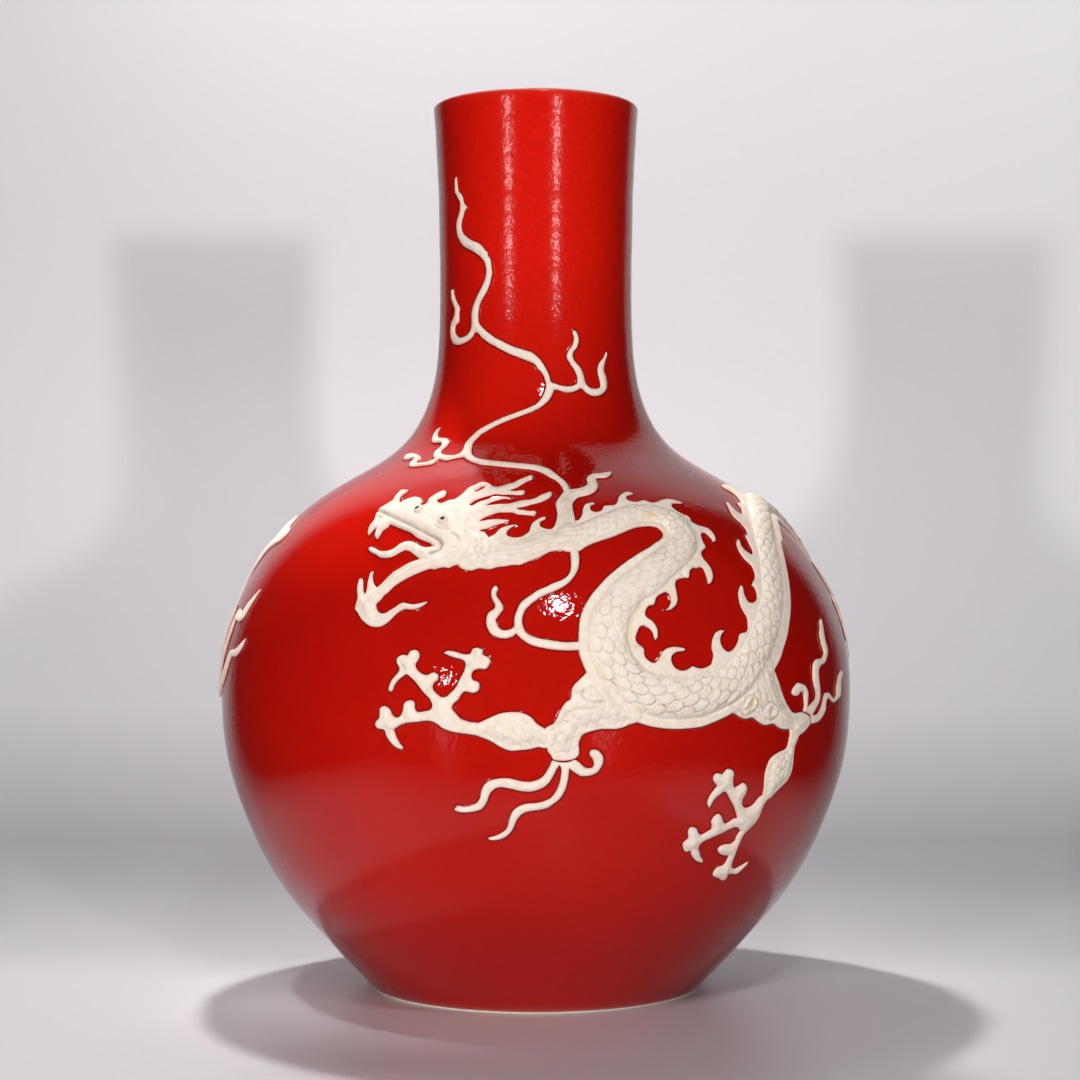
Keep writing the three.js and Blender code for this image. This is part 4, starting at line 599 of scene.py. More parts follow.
def solid(name, nodes, flat, tris, lift, marks, dress=None):
    """Closes a lifted sheet with walls and an underside below the glaze"""
    n = len(flat)
    first = flat[tris[0]]
    turn = np.cross(first[1] - first[0], first[2] - first[0])
    if turn > 0:
        tris = [t[::-1] for t in tris]
    seen = dict.fromkeys((t[k], t[(k + 1) % len(t)]) for t in tris for k in range(len(t)))
    top = [t[::-1] for t in tris]
    faces = top + [[v + n for v in t] for t in tris]
    for a, b in seen:
        if (b, a) not in seen:
            faces.append([a, b, b + n, a + n])
    verts = np.concatenate([lifted(flat, lift), lifted(flat, np.full(n, SUNK))])
    obj = mesh_object(name, verts, faces, np.concatenate([marks, marks]))
    return finished(obj, *(dress or (biscuit, "biscuit")), nodes)


# Materials
def material_nodes(name):
    """A new material with only its surface shader and output"""
    mat = bpy.data.materials.new(name)
    mat.use_nodes = True
    tree = mat.node_tree
    shader = tree.nodes["Principled BSDF"]
    return mat, tree, shader


def add_node(tree, kind, **values):
    node = tree.nodes.new(kind)
    for key, value in values.items():
        if key in node.inputs:
            node.inputs[key].default_value = value
        else:
            setattr(node, key, value)
    return node


def ramp(tree, source, low, high, first=0.0, last=1.0):
    """Maps a value between low and high onto first to last"""
    node = add_node(tree, "ShaderNodeMapRange")
    node.inputs["From Min"].default_value = low
    node.inputs["From Max"].default_value = high
    node.inputs["To Min"].default_value = first
    node.inputs["To Max"].default_value = last
    tree.links.new(source, node.inputs["Value"])
    return node.outputs["Result"]


def blended(tree, share, under, over, mode="MIX"):
    """A colour mix; under and over are colours or sockets"""
    node = add_node(tree, "ShaderNodeMix")
    node.data_type = "RGBA"
    node.blend_type = mode
    if isinstance(share, float):
        node.inputs[0].default_value = share
    else:
        tree.links.new(share, node.inputs[0])
    for index, colour in ((6, under), (7, over)):
        if isinstance(colour, tuple):
            node.inputs[index].default_value = (*colour, 1)
        else:
            tree.links.new(colour, node.inputs[index])
    return node.outputs[2]


def times(tree, first, second):
    node = add_node(tree, "ShaderNodeMath", operation="MULTIPLY")
    tree.links.new(first, node.inputs[0])
    if isinstance(second, float):
        node.inputs[1].default_value = second
    else:
        tree.links.new(second, node.inputs[1])
    return node.outputs[0]


def noise_node(tree, place, scale, detail=3.0, rough=0.5):
    node = add_node(tree, "ShaderNodeTexNoise")
    node.inputs["Scale"].default_value = scale
    node.inputs["Detail"].default_value = detail
    node.inputs["Roughness"].default_value = rough
    tree.links.new(place, node.inputs["Vector"])
    return node.outputs["Fac"]


def object_place(tree):
    return add_node(tree, "ShaderNodeTexCoord").outputs["Object"]


def axes_of(tree, place):
    """The X, Y and Z of a place"""
    node = add_node(tree, "ShaderNodeSeparateXYZ")
    tree.links.new(place, node.inputs[0])
    return node.outputs


def painted(tree):
    """The marks painted on a mesh: line, edge and stain on clay, and pale, liner and deep on glaze, deep being
    pooled glaze with painted contact shade
    """
    marks = add_node(tree, "ShaderNodeAttribute", attribute_name="marks")
    parts = add_node(tree, "ShaderNodeSeparateColor")
    tree.links.new(marks.outputs["Color"], parts.inputs["Color"])
    return parts.outputs


def bumped(tree, height, distance, socket):
    """A bump node from a height into a normal socket"""
    node = add_node(tree, "ShaderNodeBump", Distance=distance)
    tree.links.new(height, node.inputs["Height"])
    tree.links.new(node.outputs["Normal"], socket)
    return node


def set_inputs(node, values):
    for name, value in values.items():
        node.inputs[name].default_value = value


def biscuit_material():
    """Unglazed white clay: matt, a little grainy, darker in the cut lines and pinkish beside the glaze"""
    mat, tree, shader = material_nodes("biscuit")
    place = object_place(tree)
    line, edge, stain = painted(tree)
    cloud = noise_node(tree, place, 45.0, 4.0)
    grain = noise_node(tree, place, 520.0, 3.0, 0.7)
    mottle = noise_node(tree, place, 230.0, 3.0, 0.6)
    colour = blended(tree, ramp(tree, cloud, 0.3, 0.7), (0.84, 0.69, 0.56), (0.90, 0.775, 0.655))
    colour = blended(tree, ramp(tree, mottle, 0.42, 0.68, 0.0, 0.75), colour, (0.93, 0.83, 0.735))
    colour = blended(tree, ramp(tree, mottle, 0.46, 0.3, 0.0, 0.55), colour, (0.80, 0.64, 0.52))
    speck = noise_node(tree, place, 420.0, 1.0)
    colour = blended(tree, ramp(tree, speck, 0.79, 0.82, 0.0, 0.55), colour, (0.16, 0.13, 0.11))
    colour = blended(tree, times(tree, stain, 0.75), colour, (0.78, 0.56, 0.24))
    uneven = ramp(tree, noise_node(tree, place, 160.0, 3.0), 0.3, 0.65, 0.35, 1.0)
    colour = blended(tree, times(tree, times(tree, line, uneven), 0.92), colour, (0.26, 0.21, 0.17))
    colour = blended(tree, times(tree, edge, 0.6), colour, (0.92, 0.53, 0.46))
    tree.links.new(colour, shader.inputs["Base Color"])
    set_inputs(shader, {"Roughness": 0.72, "Specular IOR Level": 0.25})
    bumped(tree, grain, 0.0005, shader.inputs["Normal"]).inputs["Strength"].default_value = 0.55
    return mat


# How fast the red deepens as the glaze turns away from the eye: partly the glaze's own depth, partly painted
# shade toward the outline
RIM_DEEPENING_AND_SHADE_POWER = 1.7


def glaze_material():
    """Deep ruby glaze under a clear wet coat, pale where it thins at the lip, with painted light on the neck
    and left shoulder
    """
    mat, tree, shader = material_nodes("glaze")
    place = object_place(tree)
    pale, liner, deep = painted(tree)
    across, _, height = axes_of(tree, place)
    cloud = noise_node(tree, place, 9.0, 5.0, 0.6)
    fleck = noise_node(tree, place, 260.0, 2.0)
    colour = blended(tree, ramp(tree, cloud, 0.3, 0.7), (0.43, 0.0042, 0.0013), (0.51, 0.0062, 0.0018))
    # Lighter red on the neck: painted light, the neck lit more than the globe
    colour = blended(tree, ramp(tree, height, 0.36, 0.46), colour, (0.72, 0.0085, 0.0024))
    colour = blended(tree, ramp(tree, fleck, 0.35, 0.75, 0.0, 0.3), colour, (0.40, 0.0032, 0.0011))
    # Brighter red on the shoulder's left side: painted light, as if a lamp from the upper left lit it
    shoulder = times(tree, ramp(tree, across, 0.03, -0.13), ramp(tree, height, 0.25, 0.31))
    shoulder = times(tree, shoulder, ramp(tree, height, 0.42, 0.36))
    colour = blended(tree, shoulder, colour, (0.86, 0.0108, 0.0030))
    # The red deepens toward the outline: partly the glaze's depth, partly painted shade
    turned_away = add_node(tree, "ShaderNodeLayerWeight", Blend=0.5).outputs["Facing"]
    depth = add_node(tree, "ShaderNodeMath", operation="POWER")
    tree.links.new(turned_away, depth.inputs[0])
    depth.inputs[1].default_value = RIM_DEEPENING_AND_SHADE_POWER
    colour = blended(tree, depth.outputs[0], colour, (0.15, 0.0015, 0.0010))
    # Deeper red where the glaze pools against the relief, with painted contact shade along its foot
    colour = blended(tree, deep, colour, (0.12, 0.0015, 0.0012))
    colour = blended(tree, pale, colour, (0.80, 0.55, 0.48))
    colour = blended(tree, liner, colour, (0.78, 0.74, 0.68))
    tree.links.new(colour, shader.inputs["Base Color"])
    set_inputs(shader, {"Roughness": 0.5, "Specular IOR Level": 0.0, "Coat Weight": 0.85, "Coat IOR": 1.45})
    tree.links.new(ramp(tree, height, 0.37, 0.43, 0.035, 0.17), shader.inputs["Coat Roughness"])
    bump = bumped(tree, noise_node(tree, place, 320.0, 1.0), 0.0004, shader.inputs["Coat Normal"])
    tree.links.new(ramp(tree, height, 0.36, 0.46, 0.4, 0.3), bump.inputs["Strength"])
    return mat


def eye_material():
    """White clay with a painted black pupil and a grey ring"""
    mat, tree, shader = material_nodes("pupil")
    dark, ring_mark, _ = painted(tree)
    cloud = noise_node(tree, object_place(tree), 300.0, 3.0)
    colour = blended(tree, ramp(tree, cloud, 0.3, 0.7), (0.80, 0.68, 0.56), (0.86, 0.76, 0.65))
    colour = blended(tree, times(tree, ring_mark, 0.8), colour, (0.40, 0.31, 0.22))
    colour = blended(tree, dark, colour, (0.012, 0.012, 0.016))
    tree.links.new(colour, shader.inputs["Base Color"])
    shader.inputs["Roughness"].default_value = 0.5
    return mat


biscuit = biscuit_material()
glaze = glaze_material()
pupil = eye_material()


# The vase itself
def turned(name, nodes, rows, count, material, slot, marks):
    """A closed body of revolution from (radius, height) rows in pixels, first and last on the axis"""
    rows = np.array(rows, float)
    marks = np.asarray(marks, float)
    angle = 2 * np.pi * np.arange(count) / count
    verts, shades, index = [], [], []
    for (radius, height), mark in zip(rows, marks):
        if radius < 1e-6:
            index.append(np.full(count, len(verts)))
            verts.append((0.0, 0.0, height * PX))
            shades.append(mark)
            continue
        index.append(len(verts) + np.arange(count))
        for a in angle:
            verts.append((radius * math.sin(a) * PX, -radius * math.cos(a) * PX, height * PX))
            shades.append(mark)
    faces = []
    for first, second in zip(index, index[1:]):
        for k in range(count):
            j = (k + 1) % count
            face = [int(first[k]), int(first[j]), int(second[j]), int(second[k])]
            face = [v for n, v in enumerate(face) if v not in face[:n]]
            if len(face) > 2:
                faces.append(face)
    obj = mesh_object(name, verts, faces, np.array(shades), 50.0)
    return finished(obj, material, slot, nodes)


# Heights of the glaze's lower line and of the top of the foot ring, and the wall's thickness
GLAZE_LINE = 1.5 * MM
RING_TOP = 17.0 * MM
WALL = 7.0 * MM
LIP_WALL = 5.0 * MM
LIP_HEIGHT = 4.0
FOOT_WIDTH = 9.0 * MM
RECESS = 8.0 * MM
# Where the neck's throwing rings begin, and the rows of points below it and on it
NECK_FROM = 640
OUTSIDE_ROWS = np.concatenate((np.arange(GLAZE_LINE + 0.7, 6, 0.8), np.arange(6, NECK_FROM, 4.2),
                               np.arange(NECK_FROM, TALL - 8, 2)))


def throwing(height):
    """The faint rings that the potter's fingers left"""
    waves = ((0.085, 2.9, 0.0), (0.12, 5.3, 1.0), (0.2, 11.7, 0.0))
    return sum(size * math.sin(height / length + start) for size, length, start in waves)


def glaze_rows():
    """Rows up the outside, over the lip and down the inside"""
    rows, marks = [], []

    def add(radius, height, pale=0.0, liner=0.0, deep=0.0):
        rows.append((radius, height))
        marks.append((pale, liner, deep))
    ring_radius, line_radius = radius_at(RING_TOP), radius_at(GLAZE_LINE)
    # Hidden underside above the foot ring, out to the glaze's lower line
    add(0, RING_TOP - 0.6, 0, 1)
    add(ring_radius - 2.6, RING_TOP - 0.6, 0, 1)
    add(ring_radius - 2.0, RING_TOP - 1.2, 0, 1)
    add(line_radius - 2.0, GLAZE_LINE + 0.3, 0, 0.5)
    add(line_radius - 1.3, GLAZE_LINE - 0.3, 0.6, 0)
    add(line_radius - 0.4, GLAZE_LINE, 0.5, 0)
    # Outside
    for height in OUTSIDE_ROWS:
        thin = math.exp(-(height - GLAZE_LINE) / 1.5)
        fade = min(1.0, max(0.0, (height - NECK_FROM) / 60))
        add(float(radius_at(height)) - 0.2 * fade + fade * throwing(height) * 0.5, height, 0.35 * thin)
    # Rounded lip, pale on its outer edge
    mouth = float(radius_at(TALL - LIP_HEIGHT))
    for step in range(13):
        turn = math.pi * step / 12
        out = mouth - LIP_WALL / 2 + LIP_WALL / 2 * math.cos(turn)
        pale = math.exp(-((turn - 1.1) / 0.55) ** 2)
        add(out, TALL - LIP_HEIGHT + LIP_HEIGHT * math.sin(turn), 0.75 * pale, 1.0 if turn > 2 else 0.0)
    # Inside, and its rounded floor
    for height in np.arange(TALL - 12, RING_TOP + 14, -11.0):
        slope = np.interp(height, HEIGHTS, SLOPES)
        wall = LIP_WALL + (WALL - LIP_WALL) * min(1.0, (TALL - height) / 60)
        add(float(radius_at(height)) - wall * math.hypot(1, slope), height, 0, 1)
    base = rows[-1][0]
    for step in range(1, 7):
        turn = math.pi / 2 * step / 6
        add(base - 12 + 12 * math.cos(turn) - 6 * step / 6, RING_TOP + 14 - 13.4 * math.sin(turn), 0, 1)
    add(0, RING_TOP + 0.6, 0, 1)
    return rows, marks


def foot_rows():
    """The bare foot ring and the recessed base inside it"""
    outer = float(radius_at(0))
    inner = outer - FOOT_WIDTH
    line_radius = float(radius_at(GLAZE_LINE))
    rows = [(0, RING_TOP - 1.0), (float(radius_at(RING_TOP)) - 3.2, RING_TOP - 1.0),
            (line_radius - 2.4, GLAZE_LINE + 0.6), (line_radius - 1.4, GLAZE_LINE - 0.6),
            (outer - 0.3, GLAZE_LINE - 0.9), (outer - 0.5, 0.9), (outer - 1.6, 0.15), (outer - 3.0, 0.0),
            (inner + 3.0, 0.0), (inner + 1.2, 0.3), (inner, 1.6), (inner - 0.4, RECESS * 0.5),
            (inner - 1.2, RECESS - 3.0), (inner - 3.6, RECESS - 0.6), (inner - 7, RECESS)]
    for radius in np.arange(inner - 12, 8, -7.0):
        rows.append((radius, RECESS + 0.27 * math.sin(radius / 9.0)))
    return rows + [(0, RECESS)]


rows, marks = glaze_rows()
turned("vase_glaze", ("vase_lower_globe", "vase_upper_globe", "vase_shoulder", "vase_neck"), rows, 240, glaze,
       "glaze", marks)
rows = foot_rows()
turned("vase_foot_ring", ("vase_foot",), rows, 192, biscuit, "biscuit", np.zeros((len(rows), 3)))


# The dragon's body
def catmull(line, at):
    """Points of a smooth line through the given ones at fractional indices"""
    n = len(line)
    i = np.clip(np.floor(at).astype(int), 0, n - 2)
    t = (at - i)[:, None]
    p0, p1, p2, p3 = line[np.maximum(i - 1, 0)], line[i], line[i + 1], line[np.minimum(i + 2, n - 1)]
    return 0.5 * (2 * p1 + (p2 - p0) * t + (2 * p0 - 5 * p1 + 4 * p2 - p3) * t ** 2
                  + (3 * p1 - p0 - 3 * p2 + p3) * t ** 3)


# The part of the body that is not seen: stations along it, and pixels on the globe in a degree round it
HIDDEN_STATIONS = 63
PX_PER_DEGREE = 5.4


def back_pairs():
    """The body's two edges round the side and back, on the flat map"""
    spine = pixels(BACK_SPINE) * (PX_PER_DEGREE, 1, 1)
    dense = catmull(spine, np.linspace(0, len(spine) - 1, (len(spine) - 1) * 20 + 1))
    run = np.concatenate(([0], np.cumsum(np.linalg.norm(np.diff(dense, axis=0), axis=1))))
    even = np.linspace(0, run[-1], HIDDEN_STATIONS)
    line = np.stack([np.interp(even, run, dense[:, k]) for k in range(3)], 1)
    ahead = np.concatenate([line[1:], line[-1:]]) - np.concatenate([line[:1], line[:-1]])
    radius = radius_at(line[:, 1])
    climb = np.hypot(1, np.interp(line[:, 1], HEIGHTS, SLOPES))
    sideways = np.radians(ahead[:, 0] / PX_PER_DEGREE) * radius
    up = ahead[:, 1] * climb
    length = np.hypot(sideways, up)
    azimuth = line[:, 0] / PX_PER_DEGREE
    half = line[:, 2]
    turn = np.degrees(half * up / length / radius)
    rise = half * sideways / length / climb
    return (flat_from_vase(azimuth - turn, line[:, 1] + rise),
            flat_from_vase(azimuth + turn, line[:, 1] - rise))


hidden_back, hidden_belly = back_pairs()
# How far the traced outlines stand off the glaze
RISE = 1.3
BACK_EDGE = np.concatenate([photo(BODY_BACK, RISE), hidden_back])
BELLY_EDGE = np.concatenate([photo(BODY_BELLY, RISE), hidden_belly])
HIDDEN = len(BACK_EDGE) - HIDDEN_STATIONS

# A scale's length: a share of the body's width, and its least and greatest pixels
SCALE_SHARE = 0.235
SCALE_LIMITS = (3.0, 12.8)
# Close stations along the body, with its width there and the length and row number of its scales
STATION = np.linspace(0, len(BACK_EDGE) - 1, (len(BACK_EDGE) - 1) * 60 + 1)
DENSE_BACK = catmull(BACK_EDGE, STATION)
DENSE_BELLY = catmull(BELLY_EDGE, STATION)
DENSE_MID = (DENSE_BACK + DENSE_BELLY) / 2
DENSE_WIDTH = np.hypot(*(DENSE_BELLY - DENSE_BACK).T) * scale_at(DENSE_MID)
STEP = np.hypot(*np.diff(DENSE_MID, axis=0).T) * scale_at(DENSE_MID[1:])
ALONG = np.concatenate(([0], np.cumsum(STEP)))
PITCH = np.clip(SCALE_SHARE * DENSE_WIDTH, *SCALE_LIMITS)
ROWS = np.concatenate(([0], np.cumsum(STEP / PITCH[1:])))
# How dark the lines round the scales are along the body, by station
LINE_STATIONS = (0, 6, 10, 14, 19, 26, 30, 36, 40, 45, 52, 60, 119)
LINE_DARKNESS = (0.35, 0.5, 0.75, 0.8, 0.5, 0.55, 0.75, 0.72, 0.7, 0.85, 1.0, 0.95, 0.7)
# How wide the smooth rim along the belly is, as a share of the body
RIM_STATIONS = (0, 12, 20, 30, 40, 46, 56, 70, 119)
RIM_SHARES = (0.13, 0.16, 0.2, 0.18, 0.19, 0.27, 0.27, 0.22, 0.18)


# The dome's height as a share of the body's width, the rim's height and the stations of the crest, where
# painted shade darkens the scales
DOME_SHARE = 0.19
RIM_HEIGHT = 2.5
CREST_FROM, CREST_TO = 59.5, 78.0


def body_piece(first, last, highest, step):
    """One stretch of the body: a scaly dome with a flat rim along the belly"""
    span = (STATION >= first - 1e-9) & (STATION <= last + 1e-9)
    run = ALONG[span]
    count = max(2, int((run[-1] - run[0]) / step))
    at = np.interp(np.linspace(run[0], run[-1], count + 1), ALONG, STATION)
    back, belly = catmull(BACK_EDGE, at), catmull(BELLY_EDGE, at)
    width = np.interp(at, STATION, DENSE_WIDTH)[:, None]
    columns = int(width.max() / step)
    s = np.linspace(0, 1, columns + 1)[None]
    s = 0.5 - 0.5 * np.cos(np.pi * s) * (1 - 0.35 * np.sin(np.pi * s) ** 2)
    flat = back[:, None] + (belly - back)[:, None] * s[..., None]
    rim = np.interp(at, RIM_STATIONS, RIM_SHARES)[:, None] * width
    from_back = s * width
    from_belly = (1 - s) * width
    q = from_back / (width - rim)
    high = np.minimum(highest, DOME_SHARE * width)
    dome = np.where(q < 1, high * np.clip(1 - np.abs(2 * q - 1) ** 2.6, 0, 1) ** 0.6, 0)
    border = np.minimum(RIM_HEIGHT, 0.3 * high + 0.6) * rounded(from_belly, 1.5)
    border -= 0.6 * np.exp(-((from_belly - rim) / 0.9) ** 2)
    lift = np.maximum(np.maximum(dome, border), 0.3)
    pitch = np.interp(at, STATION, PITCH)[:, None]
    down = np.interp(at, STATION, ROWS)[:, None] + 0 * s
    shape, line = scales(down, (q - 0.5) * (width - rim) / pitch + 0.25, 7)
    strong = np.interp(at, LINE_STATIONS, LINE_DARKNESS)[:, None]
    fade = np.clip((from_back - 1.0) / 3, 0, 1) * np.clip((width - rim - from_back) / 3, 0, 1)
    lift = lift + fade * pitch * (0.105 * (shape - 0.5) - 0.05 * line)
    points = flat.reshape(-1, 2)
    marks = np.zeros((len(points), 3))
    ragged = 0.75 + 0.45 * noise(points, 9.0, 3)
    marks[:, 0] = np.clip((strong * line * fade).ravel() * ragged, 0, 1)
    marks[:, 0] = np.maximum(marks[:, 0], 0.35 * np.exp(-((from_belly - rim) / 0.8) ** 2).ravel())
    marks[:, 0] = np.maximum(marks[:, 0], 0.3 * np.exp(-(from_back / 1.2) ** 2).ravel())
    marks[:, 1] = np.exp(-(from_belly / 1.3) ** 2).ravel()
    # Painted shade over the crest, where its scales turn away round the back
    over_crest = np.clip((at - CREST_FROM) / 2, 0, 1) * np.clip((CREST_TO - at) / 5, 0, 1)
    crest_shade = (over_crest[:, None] * (0.5 + 0.5 * line) * fade).ravel() * ragged
    marks[:, 0] = np.clip(marks[:, 0] + crest_shade, 0, 1)
    lift = lift.ravel()
    stroked(points, lift, marks)
    n, m = flat.shape[:2]
    index = np.arange(n * m).reshape(n, m)
    quads = np.stack([index[:-1, :-1], index[:-1, 1:], index[1:, 1:], index[1:, :-1]], -1).reshape(-1, 4)
    OUTLINES.append(np.concatenate([back, belly[::-1]]))
    return points, quads, lift, marks


def stroked(flat, lift, marks):
    """Adds the drawn lines, folds and stains that fall on a piece"""
    low, high = flat.min(0) - 12, flat.max(0) + 12
    for line, wide, depth, channel, strength in STROKES:
        if (line.max(0) < low).any() or (line.min(0) > high).any():
            continue
        near = np.all((flat > line.min(0) - 12) & (flat < line.max(0) + 12), axis=1)
        if not near.any():
            continue
        gap = distance(flat[near], [line])
        touch = np.exp(-(gap / wide) ** 2)
        lift[near] += depth * touch
        if strength:
            marks[near, channel] = np.clip(marks[near, channel] + strength * touch, 0, 1)


# Drawn lines and folds: width and depth in pixels, darkness, then pixels of the photograph
LINES = (
    (1.6, -1.5, 0.75, "379,512 385,515.5 395,519.5 405,524 415,529 425,534 435,539 441,543 442.5,547 "
                      "440,551 431,555.5"),
    (1.8, 0.9, 0.0, "380,517 390,520.5 400,524.5 410,529 420,534.5 430,540 436,545"),
    (1.0, -0.7, 0.3, "438,531.5 441,533 446,533.8 451,532"),
    (0.9, -0.6, 0.3, "436,528.5 440,531 446,531.8 450.5,529.5"),
    (1.0, 0.7, 0.0, "436,523 438,519 443,517 448,518 451,521 452,525"),
    (1.2, 0.9, 0.0, "411,511 413.5,507.5 417,505.5 420,505"),
    (1.0, -0.8, 0.35, "453,537 458,540 460,545 458,549 451,552"),
    (1.4, 0.8, 0.0, "455,535 461,539 463,545.5 460,551 453,554.5"),
    (0.9, -0.6, 0.25, "466,534 470,540 471,547 468,554 462,558"),
    (1.0, -0.8, 0.35, "476,541 478,547 475.5,553 479,558 477,563"),
    (0.9, -0.7, 0.3, "483,540 481,545 485,549 482,554 486,559"),
    (0.9, -0.6, 0.25, "489,542 488,547 491,551 489,556"),
    (0.8, -0.5, 0.2, "455,512 459,516 457,521 461,525 459,530"),
    (0.8, -0.5, 0.2, "462,508 465,513 463,518 467,523 465,528"),
    (0.8, -0.5, 0.2, "469,512 471,517 469,522 473,526"),
    (0.8, -0.4, 0.18, "476,508 484,505.5 494,502.5 505,500.5"),
    (0.8, -0.4, 0.18, "480,511 492,509 506,507 522,503.5 536,499"),
    (0.8, -0.4, 0.18, "472,498 482,494.5 492,490.5 506,488"),
    (0.9, -0.5, 0.2, "386,509 391,506 396,504.5"),
    (0.9, -0.5, 0.2, "430,503 436,506 444,507 452,505"),
    (0.8, -0.5, 0.22, "412,566 400,573 389,582 379,592 368,603"),
    (0.8, -0.4, 0.18, "430,562.5 420,567 410,571"),
    (0.9, -0.7, 0.4, "591,685.5 585,688 581.5,692.5 583,698 588,701.5 595,702.5 601,701"),
    (0.9, -0.8, 0.45, "562,719 567,713 574,708.5 582,707.5 590,708 596,706 601,702.5"),
    (1.5, 0.8, 0.0, "590,688.5 587,692.5 588,697 593,699.5 599,699"),
    (1.0, -0.5, 0.25, "601,687 607,693 610,700 616,704 622,708"),
    (0.8, -0.4, 0.2, "566,742 571,735 578,729 588,727 600,725 612,723"),
    (0.9, -0.5, 0.35, "553,741 556,735 562,732 567,735 567,741 563,745 557,745"),
    (0.9, -0.5, 0.3, "551,729 556,724 562,721 568,722"),
    (1.0, -1.0, 0.5, "741.5,703.5 743,699 747,695.5 751,695 754,698 754.5,704 753,710 749,714.5 "
                     "743,715 739,711"),
    (1.4, 1.0, 0.0, "743,706 745,700.5 749,697.5 752,699.5 752,705 749,710.5 744.5,711.5"),
    (1.0, -1.0, 0.5, "760,711 762,706 766,702.5 771,703 774.5,707 775.5,713 773,718 768,720 763,718.5"),
    (1.4, 1.0, 0.0, "763,710 765.5,706 769,705 772,708.5 772.5,713.5 769.5,717 765,716.5"),
    (0.8, -0.5, 0.4, "754,655 753.5,662 755,669 756,677 755,685 757,693 758,701 759,709"),
    (0.8, -0.5, 0.4, "759,652 759.5,660 760,668 761.5,676 761,684 763,692 765,700"),
    (0.8, -0.5, 0.4, "764.5,650 765,658 764.5,666 767,674 767,682 769.5,690 773,698 776,706"),
    (0.8, -0.5, 0.45, "770,648 769.5,656 770,664 772,672 773,681 776,690 780,699 782,708"),
    (0.8, -0.5, 0.35, "749,659 747.5,666 749.5,673 749,681 751,688"),
    (0.8, -0.5, 0.3, "743,664 742,671 744,678 743,686 744,692"),
    (0.8, -0.4, 0.3, "697,684 703,683.5 708,687 709,693 706,698.5 700,700"),
    (0.8, -0.4, 0.3, "700,677 708,677 715,683 717,692 714,701 707,706"),
    (0.8, -0.4, 0.3, "706,671 716,673 723,681 725,692 722,702 714,709"),
    (0.8, -0.4, 0.25, "699,689 703,689.5 703.5,694 699.5,695"),
    (0.8, -0.4, 0.25, "731,668 736,674 737,683 736,692 733,700"),
)
# Yellow iron stains, in the same form
STAINS = (
    (3.0, 0, 0.8, "645,519.5 651,518.5"),
    (1.5, 0, 0.6, "655,527.5 661,532 664,537 661,542"),
    (1.6, 0, 0.7, "640,607 634,614 630.5,622 629.5,632 630.5,642 633,650"),
    (1.6, 0, 0.5, "595,668 600,673 605,680"),
    (2.6, -1.2, 1.0, "749.5,700 748,705"),
    (2.0, -1.0, 0.9, "768.5,708 767.5,712.5"),
)


def strokes():
    """Every drawn line on the flat map"""
    result = []
    for channel, table in ((0, LINES), (2, STAINS)):
        for wide, depth, strength, text in table:
            result.append((eased(photo(text), 2.0, False), wide, depth, channel, strength))
    return result


STROKES = strokes()


# The two sides of the neck between which the hair-like lines run
NECK_BACK = "486,541 497,537.5 507,538 516,539 524,538 533,534 543,530.5 552,530 561,526 570,523 580,522"
NECK_THROAT = "478,566 490,567 501,566 512,564 523,562 533,559 543,555 552,551 561,549.5 570,550 580,549"
# Where each claw leaves its toe, and the lean of the crease there in degrees
TALON_CREASES = ((404, 666, 60), (476, 655, 100), (390, 728, 20), (717, 787, 140), (727, 873, 80),
                 (697, 848, 20), (430, 688, 140), (404, 711, 90), (470, 668, 30))


def streaks():
    """Long hair-like lines along the neck, which sweep up into the horn"""
    back, throat = photo(NECK_BACK), photo(NECK_THROAT)
    rng = np.random.default_rng(5)
    for k in range(11):
        share = (k + 0.7) / 11.6 + rng.uniform(-0.01, 0.01)
        line = back + (throat - back) * share
        start = rng.uniform(0, 1.5)
        at = np.linspace(start, len(line) - 1 - rng.uniform(0, 2.5) * (k % 2), 24)
        result = catmull(line, at)
        result += noise(result, 14.0, 40 + k)[:, None] * (0.0, 1.1)
        STROKES.append((result, 0.8, -0.5, 0, rng.uniform(0.16, 0.34)))
    for k in range(7):
        share = (k + 0.5) / 7
        low = np.array((552 + 25 * share, 534 - 6 * share))
        mid = np.array((559 + 15 * share, 512 - 1.5 * share))
        high = np.array((561 + 14 * share, 497 - 3 * share))
        line = flat_from_photo(np.array([low, mid, high]))
        STROKES.append((eased(line, 2.0, False), 0.8, -0.5, 0, 0.3))


streaks()


def talons():
    """Short creases where each claw leaves its toe"""
    for x, y, lean in TALON_CREASES:
        turn = math.radians(lean)
        reach = np.array((math.cos(turn), math.sin(turn))) * 4.5
        line = flat_from_photo(np.array([(x, y) - reach, (x, y) + reach]))
        STROKES.append((line, 0.9, -0.7, 0, 0.35))


talons()


def scaled(start, end, pitch, depth, darkness, on_vase=False, seed=3):
    """A texture of scales that point from start to end"""
    place = vase if on_vase else photo
    origin, goal = place(start)[0], place(end)[0]
    way = (goal - origin) / np.hypot(*(goal - origin))
    cross = np.array((-way[1], way[0]))

    def apply(flat, away, lift, marks):
        k = scale_at(flat)
        along = (flat - origin) @ way * k / pitch
        across = (flat - origin) @ cross * k / pitch
        bend = noise(flat, 38.0, seed) * 0.35
        shape, line = scales(along + bend, across + 0.5 * bend, seed)
        fade = np.clip((away - 1.6) / 2.5, 0, 1)
        lift += fade * depth * (1.3 * (shape - 0.5) - 0.6 * line)
        uneven = 0.7 + 0.5 * noise(flat, 8.0, seed + 1)
        marks[:, 0] = np.clip(marks[:, 0] + darkness * line * fade * uneven, 0, 1)
        stroked(flat, lift, marks)
    return apply


def plain(flat, away, lift, marks):
    """Soft unevenness of hand-laid clay"""
    lift += np.clip(away / 2, 0, 1) * 0.18 * noise(flat, 7.0, 11)
    stroked(flat, lift, marks)


